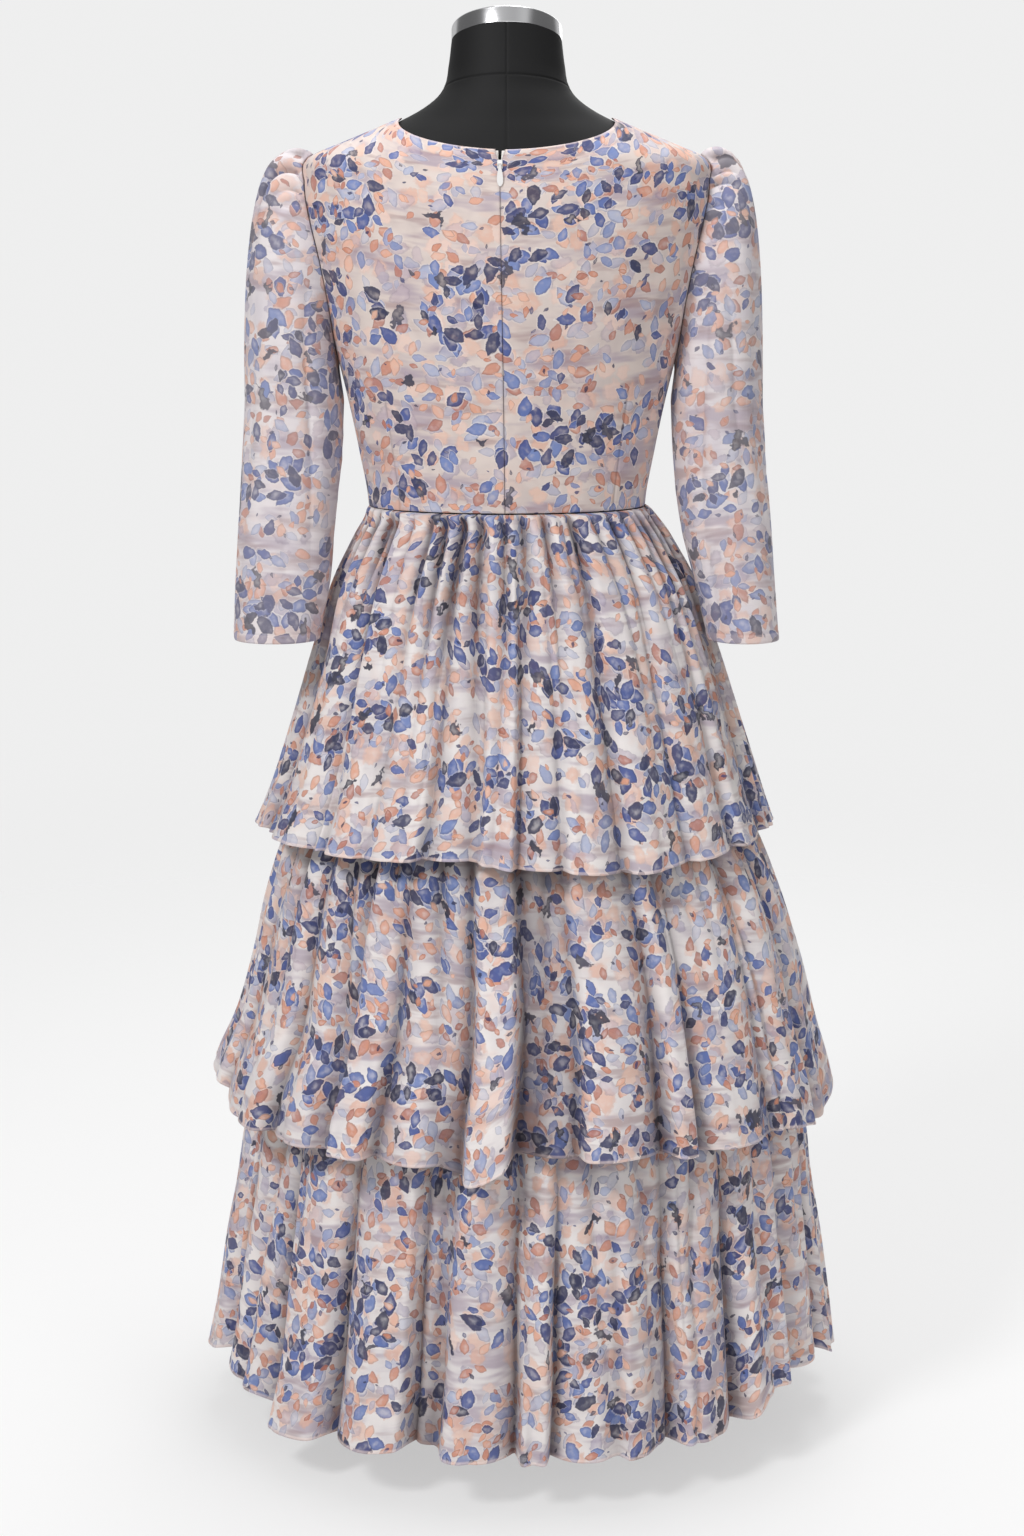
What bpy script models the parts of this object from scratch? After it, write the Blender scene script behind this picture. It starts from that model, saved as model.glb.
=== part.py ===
"""A three-tier dress on a limbless dress form, at its real size, in metres.

The dress is worn by a smooth torso on a pole and a round foot. Its back, with the centre
zip, faces -Y, +X is the wearer's right, and +Z is up. The origin is the middle of the
foot's underside, on the floor.
"""

import math
from collections import namedtuple

import bmesh
import bpy
import numpy as np
from mathutils import Matrix, Vector

# Cloth and seams.
WALL = 0.0014
SEAM = 0.0004
EASE = 0.0045
SHOULDER_REST = 0.0014
SHOULDER_LOW = 1.245
SHOULDER_BAND = 0.025
SHOULDER_FOCUS = 6

# Heights above the floor.
WAIST = 0.930
UNDERARM_SHARE = 0.375
SHOULDER_SHARE = 0.905
NECK_POINT = 1.298
BACK_NECK = 1.2655
FRONT_NECK = 1.222
ZIP_SLIDER = 1.2515
ZIP_TAB_TIP = 1.2320

# The armhole bites this many degrees out of the side of each bodice panel.
BACK_ARMHOLE_BITE = 17.0
FRONT_ARMHOLE_BITE = 26.0
ARMHOLE_FULLNESS = 0.8

# The neck edge climbs from its centres to its sides by this power of the sine.
NECK_ROUNDNESS = 1.7

# The zip lies this many degrees off the back centre, more towards the neck. Its notch is
# open at the neck edge, and its tape reaches this share of the way to the panel's next column.
ZIP_OFF_CENTRE = 0.7
ZIP_DRIFT = 1.2
NOTCH_DEPTH = 0.0155
NOTCH_HALF_WIDTH = 0.0042
TAPE_REACH = 0.46
TAPE_WALL = 0.0008

# The stand.
FOOT_RADIUS = 0.155
FOOT_THICKNESS = 0.010
FOOT_LOWER_EDGE = 0.001
FOOT_UPPER_EDGE = 0.003
FOOT_CROWN = 0.002
FOOT_SIDES = 40
HUB_RADIUS = 0.030
HUB_HEIGHT = 0.022
HUB_TAPER = 0.004
POLE_RADIUS = 0.0125
POLE_SIDES = 20

# The chrome cap on the neck.
CAP_RADIUS = 0.0528
CAP_HEIGHT = 0.0165
CAP_EDGE = 0.0015
CAP_SIDES = 32

# The zip slider and its pull tab.
CROWN_SIZE = (0.0050, 0.0080, 0.0016)
LUG_SIZE = (0.0010, 0.0030, 0.0032)
LUG_OFFSET = 0.0018
LUG_DROP = 0.0004
PIN_RADIUS = 0.0005
PIN_LIFT = 0.0037
TAB_BORE = 0.0008
TAB_HEAD_RADIUS = 0.0012
TAB_HEAD_WIDTH = 0.0020
TAB_THICKNESS = 0.0010
TAB_REST = 0.6
TAB_BORE_LENGTH = 0.010

# Half of the tab's outline, from its head down, as drawn for a tab of that length.
TAB_DRAWN_LENGTH = 0.0195
TAB_OUTLINE = [
    (0.0010, 0.0), (0.0010, -0.0024), (0.0016, -0.0050), (0.0024, -0.0085),
    (0.00285, -0.0120), (0.0028, -0.0150), (0.0022, -0.0175), (0.0011, -0.0190),
]

# A section is a ring round the body: lean is how far its back rises above its front, per metre.
Section = namedtuple("Section", "height half_width back front lean")
FORM_SECTIONS = [
    Section(0.660, 0.1500, 0.098, 0.092, 0.00),
    Section(0.730, 0.1650, 0.116, 0.104, 0.00),
    Section(0.830, 0.1520, 0.106, 0.100, 0.00),
    Section(0.930, 0.1300, 0.088, 0.096, 0.00),
    Section(0.983, 0.1385, 0.091, 0.106, 0.00),
    Section(1.032, 0.1485, 0.097, 0.120, 0.00),
    Section(1.068, 0.1570, 0.102, 0.128, 0.00),
    Section(1.105, 0.1660, 0.106, 0.124, 0.00),
    Section(1.168, 0.1820, 0.108, 0.108, 0.00),
    Section(1.205, 0.1885, 0.105, 0.094, 0.00),
    Section(1.240, 0.1895, 0.098, 0.078, 0.00),
    Section(1.263, 0.1840, 0.090, 0.066, 0.00),
    Section(1.276, 0.1530, 0.084, 0.058, 0.00),
    Section(1.287, 0.1260, 0.079, 0.052, 0.00),
    Section(1.298, 0.0995, 0.073, 0.047, 0.02),
    Section(1.306, 0.0830, 0.068, 0.046, 0.08),
    Section(1.316, 0.0680, 0.061, 0.047, 0.17),
    Section(1.328, 0.0595, 0.056, 0.050, 0.25),
    Section(1.346, 0.0557, 0.050, 0.055, 0.30),
    Section(1.3706, 0.0525, 0.043, 0.062, 0.34),
]

# The bust of the form: two low mounds, in degrees from the back centre.
BUST_ANGLE = 149.0
BUST_SPREAD = 17.0
BUST_HEIGHT = 1.072
BUST_RISE = 0.045
BUST_LIFT = 0.013

# A skirt ring gives the cloth's outermost line at a height, and how far it lies to +X.
Ring = namedtuple("Ring", "height half_width back front shift")
BASE_SKIRT_RINGS = [
    Ring(0.4300, 0.2455, 0.2210, 0.2150, 0.0162),
    Ring(0.4500, 0.2445, 0.2200, 0.2140, 0.0155),
    Ring(0.6800, 0.1975, 0.1575, 0.1555, 0.0088),
    Ring(0.8300, 0.1680, 0.1240, 0.1240, 0.0080),
    Ring(0.8890, 0.1500, 0.1050, 0.1110, 0.0058),
    Ring(0.9285, 0.1337, 0.0910, 0.0990, 0.0010),
]
TIER_1_RINGS = [
    Ring(0.6000, 0.2655, 0.2265, 0.2285, 0.0066),
    Ring(0.6480, 0.2468, 0.2080, 0.2110, 0.0086),
    Ring(0.7090, 0.2272, 0.1860, 0.1900, 0.0095),
    Ring(0.7900, 0.2020, 0.1590, 0.1640, 0.0090),
    Ring(0.8670, 0.1750, 0.1310, 0.1370, 0.0070),
    Ring(0.8890, 0.1632, 0.1225, 0.1285, 0.0062),
    Ring(0.9030, 0.1555, 0.1150, 0.1215, 0.0056),
    Ring(0.9220, 0.1430, 0.1020, 0.1095, 0.0035),
    Ring(0.9296, 0.1390, 0.0960, 0.1040, 0.0010),
]
TIER_2_RINGS = [
    Ring(0.3300, 0.3250, 0.3020, 0.2960, 0.0155),
    Ring(0.3780, 0.3140, 0.2890, 0.2830, 0.0168),
    Ring(0.4213, 0.2972, 0.2710, 0.2660, 0.0200),
    Ring(0.4806, 0.2808, 0.2480, 0.2440, 0.0212),
    Ring(0.5440, 0.2634, 0.2230, 0.2200, 0.0180),
    Ring(0.6130, 0.2365, 0.1930, 0.1930, 0.0140),
    Ring(0.6480, 0.2180, 0.1770, 0.1770, 0.0110),
    Ring(0.6800, 0.2021, 0.1619, 0.1599, 0.0088),
]
TIER_3_RINGS = [
    Ring(0.0450, 0.3305, 0.2980, 0.2940, 0.0146),
    Ring(0.1154, 0.3185, 0.2900, 0.2850, 0.0175),
    Ring(0.1980, 0.3060, 0.2800, 0.2760, 0.0182),
    Ring(0.2352, 0.2990, 0.2740, 0.2700, 0.0190),
    Ring(0.3111, 0.2880, 0.2620, 0.2570, 0.0208),
    Ring(0.3780, 0.2715, 0.2450, 0.2400, 0.0195),
    Ring(0.4000, 0.2640, 0.2385, 0.2330, 0.0185),
    Ring(0.4500, 0.2491, 0.2246, 0.2186, 0.0155),
]

# A valley is a furrow between two folds: its angle from the back centre, its depth in
# millimetres and half-width in degrees at the hem, and how far down the tier it starts.
Valley = namedtuple("Valley", "angle depth width start")
TIER_1_VALLEYS = [
    Valley(-96.0, 9.0, 8.0, 0.20),
    Valley(-76.0, 13.0, 14.0, 0.00),
    Valley(-50.5, 11.0, 6.0, 0.05),
    Valley(-33.0, 9.0, 8.0, 0.00),
    Valley(-19.2, 20.0, 7.0, 0.00),
    Valley(-9.0, 9.0, 5.0, 0.00),
    Valley(1.8, 19.0, 5.0, 0.00),
    Valley(9.5, 13.0, 5.0, 0.00),
    Valley(23.0, 20.0, 6.5, 0.05),
    Valley(40.3, 16.0, 7.0, 0.00),
    Valley(56.5, 11.0, 6.5, 0.10),
    Valley(76.0, 14.0, 14.0, 0.00),
    Valley(96.0, 9.0, 8.0, 0.20),
    Valley(109.0, 10.0, 7.0, 0.05),
    Valley(124.0, 14.0, 7.0, 0.00),
    Valley(139.5, 19.0, 6.5, 0.00),
    Valley(152.0, 12.0, 6.0, 0.10),
    Valley(166.0, 20.0, 7.0, 0.00),
    Valley(181.0, 15.0, 6.0, 0.00),
    Valley(197.0, 20.0, 7.5, 0.05),
    Valley(212.0, 13.0, 6.0, 0.00),
    Valley(227.0, 17.0, 7.0, 0.00),
    Valley(243.0, 10.0, 6.5, 0.05),
]
TIER_2_VALLEYS = [
    Valley(-90.0, 12.0, 9.0, 0.00),
    Valley(-71.0, 13.0, 7.0, 0.10),
    Valley(-51.0, 22.0, 7.0, 0.00),
    Valley(-38.0, 14.0, 6.0, 0.10),
    Valley(-26.2, 27.0, 6.0, 0.00),
    Valley(-12.4, 26.0, 5.5, 0.00),
    Valley(0.0, 31.0, 6.0, 0.00),
    Valley(8.5, 24.0, 4.5, 0.10),
    Valley(24.4, 31.0, 6.5, 0.00),
    Valley(33.5, 25.0, 5.0, 0.10),
    Valley(50.0, 17.0, 7.0, 0.00),
    Valley(67.0, 19.0, 7.0, 0.05),
    Valley(90.0, 12.0, 9.0, 0.00),
    Valley(107.0, 17.0, 7.0, 0.05),
    Valley(123.0, 24.0, 7.0, 0.00),
    Valley(137.0, 20.0, 6.0, 0.05),
    Valley(151.0, 29.0, 6.5, 0.00),
    Valley(166.0, 24.0, 6.5, 0.00),
    Valley(182.0, 30.0, 7.0, 0.00),
    Valley(196.0, 22.0, 5.5, 0.10),
    Valley(211.0, 29.0, 7.0, 0.00),
    Valley(226.0, 22.0, 6.5, 0.00),
    Valley(241.0, 24.0, 7.0, 0.05),
    Valley(255.0, 14.0, 6.0, 0.00),
]
TIER_3_VALLEYS = [
    Valley(-90.0, 15.0, 8.0, 0.00),
    Valley(-72.0, 22.0, 7.0, 0.00),
    Valley(-54.0, 35.0, 7.0, 0.00),
    Valley(-36.0, 36.0, 6.0, 0.00),
    Valley(-19.5, 38.0, 5.5, 0.00),
    Valley(-15.5, 14.0, 4.0, 0.20),
    Valley(-2.7, 36.0, 5.0, 0.00),
    Valley(6.0, 28.0, 4.5, 0.05),
    Valley(16.0, 14.0, 5.0, 0.15),
    Valley(26.7, 38.0, 6.0, 0.00),
    Valley(41.8, 36.0, 6.5, 0.00),
    Valley(58.8, 33.0, 7.0, 0.00),
    Valley(74.0, 22.0, 6.0, 0.05),
    Valley(90.0, 15.0, 8.0, 0.00),
    Valley(106.0, 26.0, 7.0, 0.00),
    Valley(121.0, 34.0, 7.0, 0.00),
    Valley(135.0, 29.0, 6.0, 0.05),
    Valley(149.5, 37.0, 7.0, 0.00),
    Valley(163.0, 30.0, 6.0, 0.00),
    Valley(177.5, 37.0, 6.5, 0.00),
    Valley(192.0, 31.0, 6.5, 0.05),
    Valley(207.0, 37.0, 7.0, 0.00),
    Valley(221.5, 30.0, 6.0, 0.00),
    Valley(237.0, 35.0, 7.0, 0.00),
    Valley(252.5, 25.0, 6.5, 0.00),
]

# A hem's height at an angle from the back centre, in turn round the skirt.
Hem = namedtuple("Hem", "angle height")
TIER_1_HEM = [
    Hem(-90.0, 0.6125), Hem(-50.0, 0.6135), Hem(-30.0, 0.6135), Hem(-12.0, 0.6175),
    Hem(2.0, 0.6105), Hem(24.0, 0.6035), Hem(41.0, 0.6065), Hem(56.0, 0.6105),
    Hem(90.0, 0.6125), Hem(125.0, 0.6085), Hem(150.0, 0.6125), Hem(180.0, 0.6065),
    Hem(215.0, 0.6120), Hem(245.0, 0.6100), Hem(270.0, 0.6125),
]
TIER_2_HEM = [
    Hem(-90.0, 0.3780), Hem(-76.0, 0.3640), Hem(-62.0, 0.3440), Hem(-43.0, 0.3420),
    Hem(-18.0, 0.3440), Hem(-9.0, 0.3310), Hem(1.0, 0.3540), Hem(15.0, 0.3510),
    Hem(30.0, 0.3460), Hem(52.0, 0.3440), Hem(70.0, 0.3330), Hem(81.0, 0.3600),
    Hem(90.0, 0.3780), Hem(105.0, 0.3600), Hem(122.0, 0.3420), Hem(150.0, 0.3500),
    Hem(180.0, 0.3420), Hem(208.0, 0.3490), Hem(240.0, 0.3440), Hem(257.0, 0.3620),
    Hem(270.0, 0.3780),
]
TIER_3_HEM = [
    Hem(-90.0, 0.0600), Hem(-70.0, 0.0800), Hem(-60.0, 0.0640), Hem(-48.0, 0.0450),
    Hem(-31.0, 0.0510), Hem(-19.5, 0.0560), Hem(-12.0, 0.0540), Hem(1.0, 0.0530),
    Hem(31.0, 0.0540), Hem(42.0, 0.0570), Hem(50.0, 0.0790), Hem(58.0, 0.0810),
    Hem(70.0, 0.0830), Hem(80.0, 0.0650), Hem(90.0, 0.0580), Hem(112.0, 0.0760),
    Hem(128.0, 0.0560), Hem(150.0, 0.0500), Hem(180.0, 0.0540), Hem(205.0, 0.0500),
    Hem(228.0, 0.0560), Hem(246.0, 0.0720), Hem(270.0, 0.0600),
]

Tier = namedtuple("Tier", "name top hem rings valleys gathers pucker columns rows")
TIERS = [
    Tier(
        "tier_1", 0.9296, TIER_1_HEM, TIER_1_RINGS, TIER_1_VALLEYS, 48, 0.0028, 96,
        (0.0, 0.08, 0.21, 0.44, 0.72, 1.0),
    ),
    Tier(
        "tier_2", 0.6800, TIER_2_HEM, TIER_2_RINGS, TIER_2_VALLEYS, 30, 0.0026, 60,
        (0.0, 0.20, 0.46, 0.74, 1.0),
    ),
    Tier(
        "tier_3", 0.4500, TIER_3_HEM, TIER_3_RINGS, TIER_3_VALLEYS, 30, 0.0026, 60,
        (0.0, 0.18, 0.44, 0.73, 1.0),
    ),
]
PUCKER_LENGTH = 0.060
FOLD_GROWTH = 0.75
BASE_COLUMNS = 36
FORM_COLUMNS = 32

# Rows of the bodice, as shares of the way from the waist seam up to the neck edge.
BODICE_ROWS = (0.0, 0.13, 0.26, 0.375, 0.48, 0.58, 0.68, 0.78, 0.855, 0.905, 0.9375, 0.9695, 1.0)
BACK_COLUMNS = 9
FRONT_COLUMNS = 18
TAPE_ROWS = 10

# The sleeve below the armhole: how far its inner and outer edges lie from the middle plane,
# the depth of its middle and its half-depth. The left and the right one hang differently.
Cuff = namedtuple("Cuff", "height inner outer middle half_depth")
LEFT_SLEEVE = [
    Cuff(0.8040, 0.1829, 0.2654, -0.0480, 0.0385),
    Cuff(0.8650, 0.1716, 0.2637, -0.0360, 0.0415),
    Cuff(0.9090, 0.1681, 0.2623, -0.0260, 0.0440),
    Cuff(0.9800, 0.1612, 0.2589, -0.0100, 0.0490),
    Cuff(1.0300, 0.1590, 0.2559, -0.0020, 0.0525),
]
RIGHT_SLEEVE = [
    Cuff(0.8040, 0.1959, 0.2655, -0.0480, 0.0385),
    Cuff(0.8650, 0.1815, 0.2610, -0.0360, 0.0415),
    Cuff(0.9090, 0.1705, 0.2580, -0.0260, 0.0440),
    Cuff(0.9800, 0.1622, 0.2515, -0.0100, 0.0490),
    Cuff(1.0300, 0.1600, 0.2483, -0.0020, 0.0525),
]
SLEEVE_COLUMNS = 36
SLEEVE_TOP = 1.030
SLEEVE_CAP_ROWS = (0.0, 0.10, 0.24, 0.42, 0.68, 1.0)
SLEEVE_ARM_ROWS = (0.977, 0.918, 0.865, 0.804)
SLEEVE_PLEATS = 9
SLEEVE_PUFF = 0.0026
PUFF_SHAPE = 9.6
PUFF_REACH = 0.9
PUFF_WAY = (0.5, -0.5, 0.7)
SLEEVE_SEAM = 1.6
SLEEVE_LAP = 2.4
CAP_OUT = Vector((0.0425, 0.0, 0.0285))
CAP_UNDER = Vector((0.0012, 0.0, -0.0120))
CAP_BACKWARD = 0.013
CAP_FALL = 0.170
UNDERARM_FALL = 0.012

# How far a surface is stepped to find its normal, in degrees and metres or in shares.
ANGLE_STEP = 0.5
HEIGHT_STEP = 0.001
SHARE_STEP = 0.0004

Finish = namedtuple("Finish", "colour roughness metallic")
FINISHES = {
    "printed_chiffon": Finish((0.72, 0.62, 0.60), 0.78, 0.0),
    "base_cloth": Finish((0.66, 0.58, 0.55), 0.85, 0.0),
    "zip_white": Finish((0.90, 0.89, 0.88), 0.40, 0.0),
    "form_cover": Finish((0.018, 0.018, 0.019), 0.70, 0.0),
    "chrome": Finish((0.80, 0.80, 0.81), 0.12, 1.0),
    "stand_steel": Finish((0.45, 0.45, 0.46), 0.30, 1.0),
}


class Profile:
    """Sizes that change smoothly with height, read from a short table of rows."""

    def __init__(self, rows):
        ordered = sorted(rows, key=lambda row: row.height)
        self.kind = type(ordered[0])
        self.rows = np.array(ordered, float)
        self.slopes = np.gradient(self.rows, self.rows[:, 0], axis=0)

    def at(self, height):
        """The row at a height, on a cubic curve through the table's rows."""
        heights = self.rows[:, 0]
        last = len(heights) - 2
        i = int(np.clip(np.searchsorted(heights, height) - 1, 0, last))
        step = heights[i + 1] - heights[i]
        s = (height - heights[i]) / step
        start = (1 + 2 * s) * (1 - s) ** 2
        end = s * s * (3 - 2 * s)
        leave = s * (1 - s) ** 2 * step
        arrive = s * s * (s - 1) * step
        row = start * self.rows[i] + end * self.rows[i + 1]
        row = row + leave * self.slopes[i] + arrive * self.slopes[i + 1]
        return self.kind(*row)


FORM = Profile(FORM_SECTIONS)
BASE_SKIRT = Profile(BASE_SKIRT_RINGS)
SLEEVES = {-1: Profile(LEFT_SLEEVE), 1: Profile(RIGHT_SLEEVE)}
SKIRT = {tier.name: Profile(tier.rings) for tier in TIERS}


def smooth_step(value):
    """Eases from 0 to 1 while value goes from 0 to 1."""
    share = min(1.0, max(0.0, value))
    return share * share * (3 - 2 * share)


def body_point(angle, height):
    """A point on the form: angle in degrees, 0 at the back centre and 90 on the +X side."""
    section = FORM.at(height)
    turn = math.radians(angle)
    depth = section.back if math.cos(turn) > 0 else section.front
    y = -depth * math.cos(turn)
    side = abs(math.remainder(angle, 360.0))
    mound = math.exp(-(((side - BUST_ANGLE) / BUST_SPREAD) ** 2))
    mound *= math.exp(-(((height - BUST_HEIGHT) / BUST_RISE) ** 2))
    y += BUST_LIFT * mound
    return Vector((section.half_width * math.sin(turn), y, height - section.lean * y))


def normal_of(surface, first, second, first_step, second_step):
    """The unit normal of surface(first, second), pointing away from its first x second turn."""
    along = surface(first + first_step, second) - surface(first - first_step, second)
    over = surface(first, second + second_step) - surface(first, second - second_step)
    return along.cross(over).normalized()


def ease_at(angle, height):
    """The air between the form and the bodice, which rests on the form at its shoulders."""
    shoulder = abs(math.sin(math.radians(angle))) ** SHOULDER_FOCUS
    shoulder *= smooth_step((height - SHOULDER_LOW) / SHOULDER_BAND)
    return SHOULDER_REST + (EASE - SHOULDER_REST) * (1 - shoulder)


def over_body(angle, height, rise):
    """A point that lies rise above the form."""
    normal = normal_of(body_point, angle, height, ANGLE_STEP, HEIGHT_STEP)
    return body_point(angle, height) + normal * rise


def bodice_point(angle, height):
    """A point on the bodice's outer side."""
    return over_body(angle, height, ease_at(angle, height) + WALL)


def neck_height(angle):
    """The height of the neck edge, which is round and lower in front."""
    turn = math.radians(angle)
    centre = BACK_NECK if math.cos(turn) > 0 else FRONT_NECK
    return centre + (NECK_POINT - centre) * abs(math.sin(turn)) ** NECK_ROUNDNESS


def armhole_edge(share, bite):
    """The angle of a bodice panel's side edge at a row, less where the armhole is cut."""
    reach = (share - UNDERARM_SHARE) / (SHOULDER_SHARE - UNDERARM_SHARE)
    if not 0 < reach < 1:
        return 90.0
    return 90.0 - bite * math.sin(math.pi * reach) ** ARMHOLE_FULLNESS


def row_height(angle, share):
    """The height of a bodice row, from the waist seam at 0 to the neck edge at 1."""
    foot = WAIST + SEAM
    return foot + (neck_height(angle) - foot) * share


def from_rows(rows, position):
    """Reads a row table at a position from 0 to 1, straight between its rows."""
    place = position * (len(rows) - 1)
    below = min(len(rows) - 2, max(0, math.floor(place)))
    return rows[below] + (rows[below + 1] - rows[below]) * (place - below)


def seam_turn(angle, height):
    """Half a seam's gap, in degrees, where a side or shoulder seam crosses a section."""
    section = FORM.at(height)
    depth = section.back if math.cos(math.radians(angle)) > 0 else section.front
    return math.degrees(0.5 * SEAM / depth)


def notch_half_gap(height):
    """Half the gap between the two back panels, which opens above the zip slider."""
    opened = smooth_step((height - (BACK_NECK - NOTCH_DEPTH)) / NOTCH_DEPTH)
    return 0.5 * SEAM + NOTCH_HALF_WIDTH * opened


def back_panel_point(side, across, down, depth=0.0):
    """A point on one back panel, from the zip at 0 to its side edge at 1, or depth under it."""
    share = from_rows(BODICE_ROWS, 1 - down)
    edge = armhole_edge(share, BACK_ARMHOLE_BITE)
    height = row_height(edge * across, share)
    gap = math.degrees(notch_half_gap(height) / FORM.at(height).half_width)
    gap -= side * (ZIP_OFF_CENTRE + ZIP_DRIFT * share)
    edge -= seam_turn(0.0, height)
    angle = gap + (edge - gap) * across
    height = row_height(angle, share)
    rise = ease_at(angle, height) + WALL - depth
    return over_body(side * angle, height, rise)


def front_panel_point(across, down):
    """A point on the front panel, from the +X side edge at 0 to the -X one at 1."""
    share = from_rows(BODICE_ROWS, 1 - down)
    edge = armhole_edge(share, FRONT_ARMHOLE_BITE)
    height = row_height(180.0, share)
    edge -= seam_turn(180.0, height)
    angle = 180.0 - edge * (1 - 2 * across)
    return bodice_point(angle, row_height(angle, share))


def armhole_corner(share, back):
    """A corner of the armhole's edge and the bodice's normal there, on the +X side."""
    if back:
        angle = armhole_edge(share, BACK_ARMHOLE_BITE)
    else:
        angle = 180.0 - armhole_edge(share, FRONT_ARMHOLE_BITE)
    height = row_height(angle, share)
    normal = normal_of(bodice_point, angle, height, ANGLE_STEP, HEIGHT_STEP)
    return bodice_point(angle, height), normal


def armhole_point(around):
    """The sleeve's seam line: 0 under the arm, up the back to 0.5 on the shoulder, down the front."""
    back = around <= 0.5
    climb = 2 * around if back else 2 - 2 * around
    shares = [s for s in BODICE_ROWS if UNDERARM_SHARE <= s <= SHOULDER_SHARE]
    place = climb * (len(shares) - 1)
    below = min(len(shares) - 2, math.floor(place))
    low, low_normal = armhole_corner(shares[below], back)
    high, high_normal = armhole_corner(shares[below + 1], back)
    share = place - below
    outer = 0.5 * (1 - math.cos(2 * math.pi * around))
    lift = SEAM * SLEEVE_SEAM + WALL * smooth_step(SLEEVE_LAP * outer)
    return low.lerp(high, share) + low_normal.lerp(high_normal, share) * lift


def sleeve_section(side, around, height):
    """A point on the sleeve below the armhole, with around 0 next to the body."""
    section = SLEEVES[side].at(height)
    turn = 2 * math.pi * around
    centre = 0.5 * (section.inner + section.outer)
    half_width = 0.5 * (section.outer - section.inner)
    x = centre - half_width * math.cos(turn)
    return Vector((x, section.middle - section.half_depth * math.sin(turn), height))


def sleeve_cap(side, around, fall):
    """A point on the sleeve's head, from the armhole seam at fall 0 to the arm at 1."""
    turn = 2 * math.pi * around
    outer = 0.5 * (1 - math.cos(turn))
    start = armhole_point(around)
    end = sleeve_section(side, around, SLEEVE_TOP)
    leave = start + CAP_UNDER.lerp(CAP_OUT, outer)
    leave.y -= CAP_BACKWARD * math.sin(turn)
    arrive = end + Vector((0, 0, UNDERARM_FALL + (CAP_FALL - UNDERARM_FALL) * outer))
    rest = 1 - fall
    point = start * rest**3 + leave * (3 * rest * rest * fall)
    return point + arrive * (3 * rest * fall * fall) + end * fall**3


def sleeve_point(side, around, down):
    """A point on the sleeve's outer side, with small pleats round its head."""
    around = around % 1.0
    rows = len(SLEEVE_CAP_ROWS) + len(SLEEVE_ARM_ROWS) - 1
    place = down * rows
    cap_rows = len(SLEEVE_CAP_ROWS) - 1
    if place <= cap_rows:
        fall = from_rows(SLEEVE_CAP_ROWS, place / cap_rows)
        point = sleeve_cap(side, around, fall)
        turn = 2 * math.pi * around
        head = smooth_step(0.5 - PUFF_REACH * math.cos(turn))
        lift = PUFF_SHAPE * SLEEVE_PUFF * fall * (1 - fall) ** 3
        swell = 0.5 + 0.5 * math.cos(SLEEVE_PLEATS * turn)
        way = Vector((PUFF_WAY[0], PUFF_WAY[1] * math.sin(turn), PUFF_WAY[2]))
        point += way * (lift * head * swell)
    else:
        heights = (SLEEVE_TOP,) + SLEEVE_ARM_ROWS
        height = from_rows(heights, (place - cap_rows) / (rows - cap_rows))
        point = sleeve_section(side, around, height)
    return Vector((side * point.x, point.y, point.z))


def ring_point(ring, angle, inward, height):
    """A point on a skirt ring, moved in towards the middle."""
    turn = math.radians(angle)
    depth = ring.back if math.cos(turn) > 0 else ring.front
    x = ring.shift + (ring.half_width - inward) * math.sin(turn)
    return Vector((x, -(depth - inward) * math.cos(turn), height))


def furrow(tier, angle, down):
    """How far the cloth is drawn in at an angle by the valleys between its folds."""
    drawn = 0.0
    for valley in tier.valleys:
        off = abs(math.remainder(angle - valley.angle, 360.0)) / valley.width
        if off >= 1 or down <= valley.start:
            continue
        grown = ((down - valley.start) / (1 - valley.start)) ** FOLD_GROWTH
        drawn += 0.001 * valley.depth * grown * 0.5 * (1 + math.cos(math.pi * off))
    return drawn


def hem_height(tier, angle):
    """The height of a tier's hem at an angle, eased from one row of its table to the next."""
    turned = (angle + 90.0) % 360.0 - 90.0
    for before, after in zip(tier.hem, tier.hem[1:]):
        if turned <= after.angle:
            break
    share = smooth_step((turned - before.angle) / (after.angle - before.angle))
    return before.height + (after.height - before.height) * share


def tier_point(tier, angle, down):
    """A point on a tier's outer side, from its gathered top at 0 to its hem at 1."""
    height = tier.top + (hem_height(tier, angle) - tier.top) * down
    puckered = math.exp(-(((tier.top - height) / PUCKER_LENGTH) ** 2))
    wave = 0.5 - 0.5 * math.cos(math.radians(tier.gathers * (angle - 90.0)))
    inward = tier.pucker * puckered * wave + furrow(tier, angle, down)
    return ring_point(SKIRT[tier.name].at(height), angle, inward, height)


def tier_panel_point(tier, middle, across, down):
    """A point on the half of a tier whose middle is at the given angle."""
    share = from_rows(tier.rows, down)
    height = tier.top + (hem_height(tier, 90.0) - tier.top) * share
    ring = SKIRT[tier.name].at(height)
    depth = ring.back if middle == 0 else ring.front
    half = 90.0 - math.degrees(0.5 * SEAM / depth)
    return tier_point(tier, middle + half * (2 * across - 1), share)


def base_skirt_point(across, down):
    """A point on the plain skirt that the two lower tiers are sewn to."""
    heights = [ring.height for ring in reversed(BASE_SKIRT_RINGS)]
    height = from_rows(heights, down)
    return ring_point(BASE_SKIRT.at(height), 360.0 * across, 0.0, height)


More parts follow.
